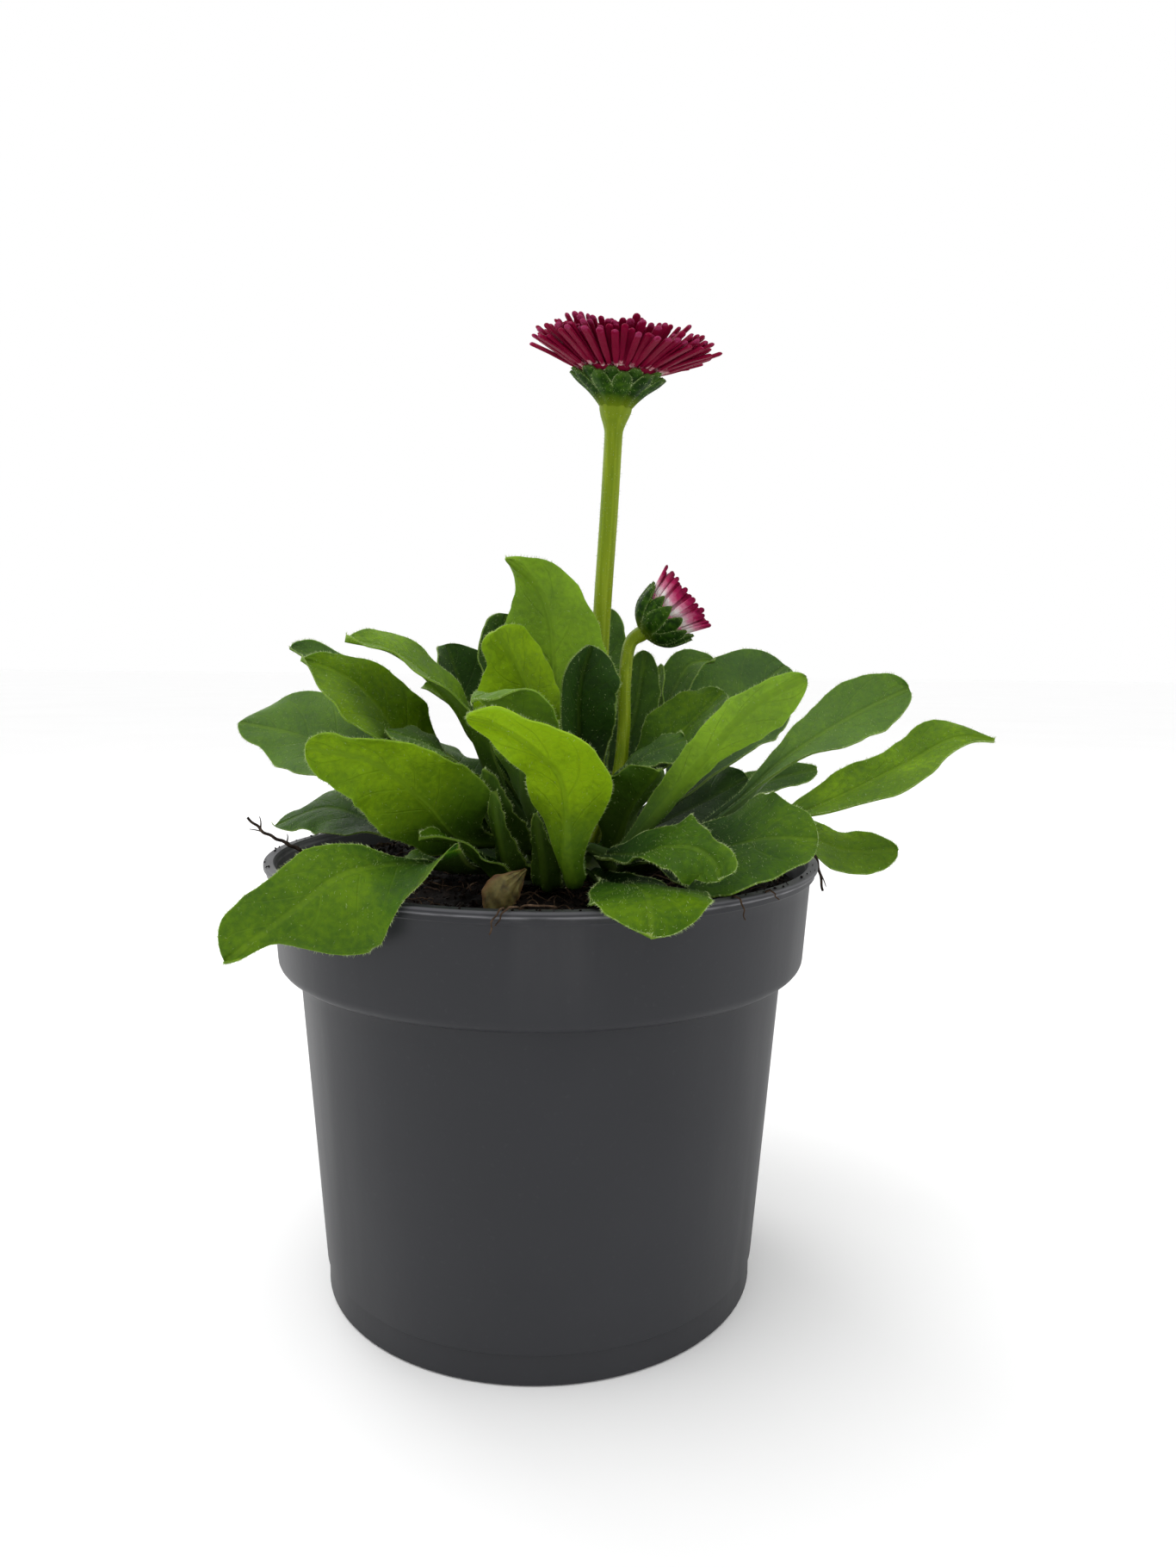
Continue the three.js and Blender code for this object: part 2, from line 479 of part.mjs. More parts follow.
// Soil: fills the pot to just under the lip, with a plain hole that the crown stands in.
function soilHeight(x, y, radius) {
  const mound = SOIL_MOUND * (1 - (radius / COLLAR_TOP_RADIUS) ** 2);
  const away = Math.hypot(x - SOIL_HEAP.x, y - SOIL_HEAP.y) / SOIL_HEAP.spread;
  const heap = SOIL_HEAP.height * Math.exp(-away * away);
  const ridges = Math.sin(SOIL_RELIEF.wave[0] * x + SOIL_RELIEF.wave[1] * y);
  const hollows = Math.sin(SOIL_RELIEF.cross[0] * x + SOIL_RELIEF.cross[1] * y + 1);
  return SOIL_EDGE_Z + mound + heap + SOIL_RELIEF.height * ridges * hollows;
}

function soil() {
  const inset = WALL_THICKNESS + SOIL_GAP;
  const bottom = FLOOR_Z + FLOOR_THICKNESS + SOIL_GAP;
  const holeRadius = CROWN_RADIUS + SOIL_GAP;
  const levels = [
    { radius: WALL_FOOT_RADIUS - inset - FLOOR_FILLET, z: bottom },
    { radius: WALL_FOOT_RADIUS - inset, z: bottom + FLOOR_FILLET + CLEARANCE },
    { radius: WALL_TOP_RADIUS - inset, z: COLLAR_FOOT_Z + SOIL_GAP },
    { radius: COLLAR_FOOT_RADIUS - inset, z: COLLAR_FOOT_Z + 2 * WALL_THICKNESS + 2 * SOIL_GAP },
    { radius: COLLAR_TOP_RADIUS - inset - CLEARANCE },
    ...SOIL_RINGS.map((radius) => ({ radius })),
    { radius: holeRadius },
    { radius: holeRadius, z: CROWN_CENTRE.z - CROWN_DEPTH - SOIL_GAP },
  ];
  const rings = levels.map(({ radius, z }) => {
    const shift = 1 - ease(holeRadius, SOIL_RINGS[1], radius);
    const ring = [];
    for (let j = 0; j < SOIL_SIDES; j += 1) {
      const turn = 2 * Math.PI * j / SOIL_SIDES;
      const x = radius * Math.cos(turn) + shift * CROWN_CENTRE.x;
      const y = radius * Math.sin(turn) + shift * CROWN_CENTRE.y;
      ring.push(new THREE.Vector3(x, y, z ?? soilHeight(x, y, Math.hypot(x, y))));
    }
    return ring;
  });
  return mesh("soil", loft(rings), PEAT);
}

// Crown: the short root stock that every leaf and stalk grows from, domed above the soil.
function crown() {
  const outline = [new THREE.Vector2(0, -CROWN_DEPTH), new THREE.Vector2(CROWN_RADIUS, -CROWN_DEPTH)];
  for (let i = 0; i < CROWN_ARC_STEPS; i += 1) {
    const rise = (Math.PI / 2) * i / CROWN_ARC_STEPS;
    outline.push(new THREE.Vector2(CROWN_RADIUS * Math.cos(rise), CROWN_DOME * Math.sin(rise)));
  }
  outline.push(new THREE.Vector2(0, CROWN_DOME));
  const dome = new THREE.LatheGeometry(outline, CROWN_SIDES).rotateX(Math.PI / 2);
  const made = mesh("crown", dome, CROWN_GREEN);
  made.position.copy(CROWN_CENTRE);
  return made;
}

// A point just off the crown's dome, and the way straight out of it there.
function crownRoot(latitude, angle) {
  const across = Math.cos(radians(latitude));
  const up = Math.sin(radians(latitude));
  const x = across * Math.cos(radians(angle));
  const y = across * Math.sin(radians(angle));
  const out = new THREE.Vector3(x / CROWN_RADIUS, y / CROWN_RADIUS, up / CROWN_DOME).normalize();
  const root = new THREE.Vector3(x * CROWN_RADIUS, y * CROWN_RADIUS, up * CROWN_DOME);
  root.add(CROWN_CENTRE).addScaledVector(out, CLEARANCE);
  return { root, out };
}

function growthCurve(latitude, angle, route) {
  const { root, out } = crownRoot(latitude, angle);
  const shoulder = root.clone().addScaledVector(out, EMERGENCE);
  return new THREE.CatmullRomCurve3([root, shoulder, ...vectors(route)], false, "centripetal");
}

// A smooth run through evenly spaced values, read at a share from 0 to 1.
function smoothRun(values, share) {
  const place = share * (values.length - 1);
  const first = Math.min(Math.floor(place), values.length - 2);
  const value = (k) => values[THREE.MathUtils.clamp(first + k, 0, values.length - 1)];
  return hermite(value(-1), value(0), value(1), value(2), place - first);
}

function hermite(before, from, to, after, share) {
  const leave = (to - before) / 2;
  const arrive = (after - from) / 2;
  const bend = 3 * (to - from) - 2 * leave - arrive;
  const twist = 2 * (from - to) + leave + arrive;
  return from + share * (leave + share * (bend + share * twist));
}

// Half the leaf's width at s from base to tip: petiole, winged petiole, blade, tip.
function halfWidth(leaf, s, which) {
  const start = leaf.start ?? BLADE_START;
  const widest = leaf.widest ?? BLADE_WIDEST;
  const [power, root] = leaf.taper ?? BLADE_TAPER;
  const winged = ease(WING_FROM, WING_TO, s);
  const wing = THREE.MathUtils.lerp(PETIOLE_WIDTH, Math.min(WING_WIDTH, leaf.width), winged) / 2;
  const spread = wing + (leaf.width / 2 - wing) * ease(start, widest, s);
  const beyond = Math.max(0, (s - widest) / (1 - widest));
  const shape = leaf.edges ? smoothRun(leaf.edges[which], s) : 1;
  return Math.max(shape * spread * Math.max(0, 1 - beyond ** power) ** root, TIP_HALF_WIDTH);
}

// The leaf's sections: an arc on each side of the midrib, with a waved and toothed edge.
function leafGrids(leaf, index) {
  const curve = growthCurve(leaf.ring, leaf.base, leaf.route);
  const root = curve.getPoint(0);
  const tip = curve.getPoint(1);
  const heading = leaf.face === undefined ? Math.atan2(tip.y - root.y, tip.x - root.x) : radians(leaf.face);
  const left = new THREE.Vector3(-Math.sin(heading), Math.cos(heading), 0);
  const spans = leaf.width >= BROAD_LEAF ? [-1, -0.5, 0, 0.5, 1] : [-1, 0, 1];
  const upper = [];
  const lower = [];
  for (let i = 0; i <= LEAF_STEPS; i += 1) {
    const s = i / LEAF_STEPS;
    const along = curve.getTangentAt(s);
    const side = left.clone().addScaledVector(along, -left.dot(along)).normalize();
    side.applyAxisAngle(along, radians(THREE.MathUtils.lerp(leaf.roll[0], leaf.roll[1], s)));
    const normal = along.clone().cross(side);
    const blade = ease((leaf.start ?? BLADE_START) - 0.1, leaf.widest ?? BLADE_WIDEST, s);
    const tooth = 1 + (i % 2 === 0 ? TOOTH : -TOOTH) * blade;
    const top = [];
    const under = [];
    for (const t of spans) {
      const which = t > 0 ? 0 : 1;
      const half = halfWidth(leaf, s, which) * tooth;
      const reach = Math.abs(t);
      const slope = radians(THREE.MathUtils.lerp(PETIOLE_FOLD, leaf.fold[which], blade));
      const bend = radians(leaf.curl[which]) * blade + 1e-6;
      const angle = slope + bend * reach;
      const across = half * (Math.sin(angle) - Math.sin(slope)) / bend;
      const phase = scatter(index) + (t > 0 ? 0.25 : 0);
      const ripple = Math.sin(2 * Math.PI * (WAVES_PER_LEAF * s + phase));
      const wave = (leaf.wave ?? WAVE) * blade * reach * reach * ripple;
      const rise = leaf.lifts ? smoothRun(leaf.lifts[which], s) * reach * reach : 0;
      const lift = half * (Math.cos(slope) - Math.cos(angle)) / bend + wave + rise;
      const point = curve.getPointAt(s)
        .addScaledVector(side, Math.sign(t) * across)
        .addScaledVector(normal, lift);
      const facing = normal.clone().multiplyScalar(Math.cos(angle));
      facing.addScaledVector(side, -Math.sign(t) * Math.sin(angle));
      const thinness = Math.max(blade, EDGE_THINNING * reach);
      const thickness = THREE.MathUtils.lerp(PETIOLE_THICKNESS, BLADE_THICKNESS, thinness);
      top.push(point);
      under.push(point.clone().addScaledVector(facing, -thickness));
    }
    upper.push(top);
    lower.push(under);
  }
  return [upper, lower];
}

// The back of the rosette, which repeats the front's leaves in an even fan.
function backLeaves() {
  const leaves = [];
  for (let i = 0; i < BACK_LEAVES; i += 1) {
    const heading = THREE.MathUtils.lerp(BACK_FROM, BACK_TO, i / (BACK_LEAVES - 1));
    const high = (i + 1) % 2;
    const reach = BACK_REACH * (1 + 0.08 * scatter(i + 1)) * (high ? 0.85 : 1);
    const rise = BACK_RISE * (high ? 1.5 : 1) + 3 * scatter(i + 11);
    const at = (share, lift) => [
      CROWN_CENTRE.x + reach * share * Math.cos(radians(heading)),
      CROWN_CENTRE.y + reach * share * Math.sin(radians(heading)),
      CROWN_CENTRE.z + 4 + rise * lift,
    ];
    leaves.push({
      name: `leaf_back_${i + 1}`,
      ring: high ? MIDDLE : OUTER,
      base: heading + (high ? 6 : 0),
      width: BACK_WIDTH + 2 * scatter(i + 21),
      route: [at(0.45, 0.45), at(0.75, 0.85), at(1, 1)],
      roll: [0, BACK_ROLL],
      fold: [12, 12],
      curl: [10, 10],
    });
  }
  return leaves;
}

function leafMesh(leaf, index) {
  return mesh(leaf.name, slab(...leafGrids(leaf, index)), LEAF_GREEN);
}

// Stalks: round and a little thicker at the foot, flaring into the bloom's base.
function stalk(name, curve, size) {
  const radiusAt = (s) => {
    const length = curve.getLength();
    const fromTop = (1 - s) * length;
    const shaft = THREE.MathUtils.lerp(size.foot, size.waist, ease(0, 0.5, s));
    return shaft + (size.top - size.waist) * (1 - ease(0, size.neck * 2, fromTop));
  };
  return mesh(name, stem(curve, radiusAt, STALK_STEPS, STALK_SIDES), STALK_GREEN);
}

// The last stretch of a stalk, straight along its bloom's axis to just under the bracts.
function stalkEnd(place, tilt) {
  const turn = new THREE.Euler(radians(tilt[0]), radians(tilt[1]), 0);
  const axis = new THREE.Vector3(0, 0, 1).applyEuler(turn);
  return [-STALK_STRAIGHT, -CLEARANCE].map((step) => place.clone().addScaledVector(axis, step).toArray());
}

function tallStalk() {
  const curve = growthCurve(INNER, TALL_STALK.base, [
    [11.2, 0, 115],
    [12.3, 0, 145],
    [13.7, 0, 170],
    ...stalkEnd(TALL_TOP, TALL_TILT),
  ]);
  return stalk("stalk_tall", curve, TALL_STALK);
}

function shortStalk() {
  const curve = growthCurve(INNER, SHORT_STALK.base, [
    [15.6, -1.6, 108],
    [17.6, 1, 121],
    [17.7, 2, 132],
    ...stalkEnd(SHORT_TOP, SHORT_TILT),
  ]);
  return stalk("stalk_short", curve, SHORT_STALK);
}

// A narrow blade in a bloom's own frame: from a start point along a lean and an azimuth.
function strap({ radius, z, azimuth, lean, bow, length, widths, thickness, steps }) {
  const out = new THREE.Vector3(Math.cos(azimuth), Math.sin(azimuth), 0);
  const side = new THREE.Vector3(-Math.sin(azimuth), Math.cos(azimuth), 0);
  const upper = [];
  const lower = [];
  const centre = out.clone().multiplyScalar(radius).setZ(z);
  for (let i = 0; i <= steps; i += 1) {
    const s = i / steps;
    const angle = lean + bow * s;
    const along = out.clone().multiplyScalar(Math.sin(angle)).setZ(Math.cos(angle));
    const inward = side.clone().cross(along).negate();
    const half = widths[i] / 2;
    upper.push([-1, 1].map((t) => centre.clone().addScaledVector(side, half * t)));
    lower.push(upper[i].map((point) => point.clone().addScaledVector(inward, -thickness)));
    centre.addScaledVector(along, length / steps);
  }
  return slab(upper, lower);
}

// Involucre: a cup of green bracts in two whorls, fused to the cup that they hug.
function involucre(name, { cup, bracts, radius, z, lean, bow, length, width }) {
  const outline = cup.map(([r, h]) => new THREE.Vector2(r, h));
  let solid = solidOf(new THREE.LatheGeometry(outline, BLOOM_SIDES).rotateX(Math.PI / 2));
  for (let i = 0; i < bracts; i += 1) {
    const inner = i % 2;
    const blade = strap({
      radius: radius - 0.5 * inner,
      z: z + 0.4 * inner,
      azimuth: 2 * Math.PI * i / bracts,
      lean,
      bow,
      length: length * (1 + 0.06 * scatter(i + 3)),
      widths: [width, 1.15 * width, 0.4 * width],
      thickness: 0.9,
      steps: 2,
    });
    solid = solid.add(solidOf(blade));
  }
  return mesh(name, geometryOf(solid), BRACT_GREEN);
}

// Florets: straps that stand out of a low core, most upright at the centre.
function floretHead(name, finish, { core, count, spread, z, lean, bow, length, width }) {
  const outline = core.map(([r, h]) => new THREE.Vector2(r, h));
  let solid = solidOf(new THREE.LatheGeometry(outline, BLOOM_SIDES).rotateX(Math.PI / 2));
  for (let i = 0; i < count; i += 1) {
    const share = Math.sqrt((i + 0.5) / count);
    const blade = strap({
      radius: spread * share,
      z,
      azimuth: radians(GOLDEN_ANGLE * i),
      lean: radians(lean * share + 3 * scatter(i + 5)),
      bow: radians(bow * share),
      length: length * (0.68 + 0.32 * ease(0, 0.9, share)) * (1 + 0.07 * scatter(i + 50)),
      widths: [0.75 * width, 1.15 * width],
      thickness: FLORET_THICKNESS,
      steps: 1,
    });
    solid = solid.add(solidOf(blade));
  }
  return mesh(name, geometryOf(solid), finish);
}

function bloomAt(place, tilt, pieces) {
  const bloom = new THREE.Group();
  bloom.position.copy(place);
  bloom.rotation.set(radians(tilt[0]), radians(tilt[1]), 0);
  bloom.add(...pieces);
  return bloom;
}

function tallBloom() {
  const bracts = involucre("involucre_tall", {
    cup: [[0, 0], [3.5, 0], [5.3, 2], [7.4, 4], [9.4, 5.3], [9, 5.5], [0, 5.5]],
    bracts: 16, radius: 5.6, z: 1.9, lean: radians(48), bow: radians(6), length: 6.6, width: 3.5,
  });
  const florets = floretHead("florets_tall", CRIMSON, {
    core: [[0, 6.1], [8.8, 6.1], [9, 6.9], [6, 8], [0, 8.6]],
    count: 78, spread: 8.6, z: 6.9, lean: 73, bow: 0, length: 12.6, width: 1.45,
  });
  return bloomAt(TALL_TOP, TALL_TILT, [bracts, florets]);
}

function shortBloom() {
  const bracts = involucre("involucre_short", {
    cup: [[0, 0], [1.7, 0], [4, 0.8], [6, 2.6], [7, 5], [6.6, 5.6], [0, 5.6]],
    bracts: 12, radius: 5.7, z: 2.4, lean: radians(20), bow: radians(-4), length: 6.4, width: 3.4,
  });
  const florets = floretHead("florets_short", PINK, {
    core: [[0, 5.9], [6, 5.9], [6, 6.6], [4, 7.6], [0, 8]],
    count: 36, spread: 5.2, z: 6.4, lean: 22, bow: 0, length: 6.4, width: 1.4,
  });
  return bloomAt(SHORT_TOP, SHORT_TILT, [bracts, florets]);
}

// A withered leaf that stands curled against the front of the crown.
function deadLeaf() {
  const curve = new THREE.CatmullRomCurve3(vectors([[-9, -46, 89.3], [-7, -47, 94], [-3, -45, 98.5]]));
  const left = new THREE.Vector3(0.85, 0.2, -0.5);
  const widths = [2, 5, 7.5, 7.5, 5.5, 2];
  const upper = [];
  const lower = [];
  widths.forEach((width, i) => {
    const s = i / (widths.length - 1);
    const along = curve.getTangentAt(s);
    const side = left.clone().addScaledVector(along, -left.dot(along)).normalize();
    const normal = along.clone().cross(side);
    const row = [-1, -0.5, 0, 0.5, 1].map((t) => curve.getPointAt(s)
      .addScaledVector(side, width / 2 * Math.sin(1.1 * t))
      .addScaledVector(normal, width / 2 * (1 - Math.cos(1.1 * t))));
    upper.push(row);
    lower.push(row.map((point) => point.clone().addScaledVector(normal, -BLADE_THICKNESS)));
  });
  return mesh("leaf_dead", slab(upper, lower), DRY_TAN);
}

// Roots that have crept out over the lip.
function rootlet(name, points) {
  const curve = new THREE.CatmullRomCurve3(vectors(points), false, "centripetal");
  const radiusAt = (s) => THREE.MathUtils.lerp(ROOT_RADIUS, ROOT_TIP_RADIUS, s);
  return mesh(name, stem(curve, radiusAt, ROOT_STEPS, ROOT_SIDES), ROOT_GREY);
}

const plant = new THREE.Group();
plant.add(pot());
plant.add(soil());
plant.add(crown());
[...LEAVES, ...backLeaves()].forEach((leaf, index) => plant.add(leafMesh(leaf, index)));
plant.add(tallStalk());
plant.add(tallBloom());
plant.add(shortStalk());
plant.add(shortBloom());
plant.add(deadLeaf());
plant.add(rootlet("root_left", LEFT_ROOT));
plant.add(rootlet("root_right", RIGHT_ROOT));

export default plant;
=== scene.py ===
import math

import bpy
import numpy as np
from mathutils import Matrix, Vector


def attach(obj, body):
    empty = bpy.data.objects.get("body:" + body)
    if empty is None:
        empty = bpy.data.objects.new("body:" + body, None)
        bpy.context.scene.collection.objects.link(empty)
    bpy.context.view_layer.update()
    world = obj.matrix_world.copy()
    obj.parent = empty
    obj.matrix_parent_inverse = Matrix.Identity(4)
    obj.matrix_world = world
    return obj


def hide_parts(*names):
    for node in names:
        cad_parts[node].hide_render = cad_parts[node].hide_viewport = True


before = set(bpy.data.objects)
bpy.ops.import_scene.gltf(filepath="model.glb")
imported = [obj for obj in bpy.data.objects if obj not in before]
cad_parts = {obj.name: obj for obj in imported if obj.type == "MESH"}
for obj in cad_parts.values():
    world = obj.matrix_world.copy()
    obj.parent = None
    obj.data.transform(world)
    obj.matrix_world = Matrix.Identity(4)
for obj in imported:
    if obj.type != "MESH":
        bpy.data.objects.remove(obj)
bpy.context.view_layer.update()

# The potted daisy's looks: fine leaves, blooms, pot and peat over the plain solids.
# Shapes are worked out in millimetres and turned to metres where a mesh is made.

MM = 0.001
RANDOM = np.random.default_rng(7)
LINE_SAMPLES = 400
LINE_STEP = 1e-4
TUBE_START = (0.3, 0.2, 1)
SHARP = 40

# Camera, from the photograph's frame
PHOTO_HEIGHT_PX = 1821
FOCAL_PX = 1243.14
SENSOR_MM = 36
CAMERA_AT = (1.301, -236.268, 134.644)
CAMERA_DOWN = 6.138
CAMERA_RIGHT = 2.048
CAMERA_ROLL = 0.656

# Pot
POT_HEIGHT = 94
POT_SIDES = 144
LIP_RADIUS = 60
LIP_DEPTH = 2.6
LIP_TOP_WIDTH = 2
LIP_BEAD_OUT = 0.6
LIP_BEAD_FOOT = 1.3
LIP_BEAD_ROUND = 0.35
COLLAR_TOP_RADIUS = 58.5
COLLAR_FOOT_RADIUS = 57.35
COLLAR_FOOT_Z = 71.4
COLLAR_ROUND = 2.4
WALL_TOP_RADIUS = 52.9
WALL_FOOT_RADIUS = 48.1
WALL_THICKNESS = 1.1
FOOT_HEIGHT = 6.4
FOOT_RADIUS = 47.6
FLOOR_Z = 6
FLOOR_THICKNESS = 1.2
PAD_RADIUS = 7
PAD_DRAFT = 0.4
NOTCH_ANGLES = (-127, -7, 113)
NOTCH_WIDTH = 17.5
NOTCH_HEIGHT = 5.7
NOTCH_CORNER = 2
NOTCH_SLOPE = 5
NOTCH_INSIDE = 3
NOTCH_OUTSIDE = 5
DRAIN_COUNT = 6
DRAIN_RADIUS = 3.2
DRAIN_CIRCLE = 31
DRAIN_SIDES = 24
DRAIN_CUT = (-1, 3)
POT_SHARP = 35

# Peat and crown
PEAT_EDGE_Z = 87.6
PEAT_MOUND = 1.6
PEAT_HEAP = (-30, 26, 2.4, 15)
PEAT_GAP = 0.45
PEAT_SIDES = 200
PEAT_ROWS = 50
PEAT_SHARP = 60
PEAT_CRUMBS = 3000
PEAT_FIBRES = 420
PEAT_INNER, PEAT_OUTER = 16.5, 55.2
CRUMB_SLOT, FIBRE_SLOT = 1, 2
FIBRE_STEPS = 8
FIBRE_LEAST = 5
FIBRE_LIMIT = 55.5
CROWN_CENTRE = np.array([4.0, -2.0, 90.0])
CROWN_RADIUS = 14
CROWN_DOME = 7
CROWN_DEPTH = 11
CROWN_SIDES = 120

# Leaves
CLEARANCE = 0.3
PETIOLE_WIDTH = 3
WING_WIDTH = 5.4
WING_FROM = 0.05
WING_TO = 0.3
PETIOLE_THICKNESS = 1.5
BLADE_THICKNESS = 0.5
PETIOLE_FOLD = 40
TIP_HALF_WIDTH = 0.15
TOOTH = 0.03
TEETH = 9
NICK = 0.2
WAVES_PER_LEAF = 2
FRILL = 0.42
FRILLS_PER_LEAF = 7
EMERGENCE = 3
MIDRIB_RIDGE = 0.7
MIDRIB_GROOVE = 0.35
MIDRIB_SPREAD = 0.7
VEIN_PAIRS = 8
VEIN_SLANT = 1.5
VEIN_DEPTH = 0.2
LEAF_COLUMNS = 19
LEAF_SHARP = 50
HAIR_RADIUS = 0.035
HAIR_SLOT = 1
HAIRLESS_ROWS = 8
EDGE_HAIRS_PER_MM = 4.5
EDGE_HAIR_LENGTH = (0.25, 0.75)
FACE_HAIRS_PER_MM2 = 0.7
FACE_HAIR_LENGTH = (0.25, 0.6)
OUTER, MIDDLE, INNER, HEART = 12, 38, 62, 80

# Leaves at the back of the rosette
BACK_LEAVES = 6
BACK_FROM = 74
BACK_TO = 134
BACK_REACH = 63
BACK_RISE = 24
BACK_WIDTH = 23
BACK_ROLL = 45

# Blooms
STALK_STRAIGHT = 3.5
STALK_SIDES = 24
STALK_RIBS = 6
STALK_ROWS = 90
STALK_HAIRS_PER_MM = 12
STALK_HAIR_LENGTH = (0.25, 0.7)
HEAD_SIDES = 48
BRACT_ROWS, BRACT_COLUMNS = 15, 9
BRACT_STATIONS = [0, 0.15, 0.45, 0.7, 0.88, 1]
BRACT_THICKNESS = 0.45
BRACT_EDGE_HAIRS = 46
BRACT_FACE_HAIRS = 30
BRACT_EDGE_HAIR_LENGTH = (0.25, 0.6)
BRACT_FACE_HAIR_LENGTH = (0.25, 0.55)
FLORET_ROWS = 8
GOLDEN_ANGLE = 137.508
FLORET_SIDES = 10
FLORET_FLATNESS = 0.72
FLORET_TROUGH = 0.5
FLORET_TIP = np.array([0.4, 0.7, 0.9, 1.0])
UP = np.array([0.0, 0.0, 1.0])

# Looks: the colour sockets of a mix node, and the glow under the skin of leaves and petals
MIX_A, MIX_B, MIX_RESULT = 6, 7, 2
GREEN_GLOW = (0.5, 1.0, 0.2)
PETAL_GLOW = (1.0, 0.3, 0.4)

# Studio: the floor in millimetres, the lights in metres and watts
FLOOR_HALF = 20000
FLOOR_DROP = 0.2
WORLD_LIGHT = 1.0
KEY_LIGHT = dict(place=(-0.3, -0.2, 1.0), aim=(0, 0, 0.11), size=0.7, power=2.6)
BACK_LIGHT = dict(place=(-0.5, 0.7, 0.7), aim=(0, 0, 0.12), size=0.6, power=2.4)

# What a leaf has where its row says nothing else: the roll about the midrib from base to tip,
# for the left and right halves the slope at the midrib (fold) and the bend towards the edge
# (curl), the shares of its length where the blade starts and is widest, the taper of its tip
# and the depth of its waves
USUAL_LEAF = dict(roll=[0, 0], fold=[15, 15], curl=[10, 10], start=0.2, widest=0.68,
                  taper=[2.2, 0.5], wave=0.8)
EVEN = [1] * 11


def leaf(name, ring, base, width, tone, route, **form):
    return dict(USUAL_LEAF, name=name, ring=ring, base=base, width=width, tone=tone, route=route,
                **form)


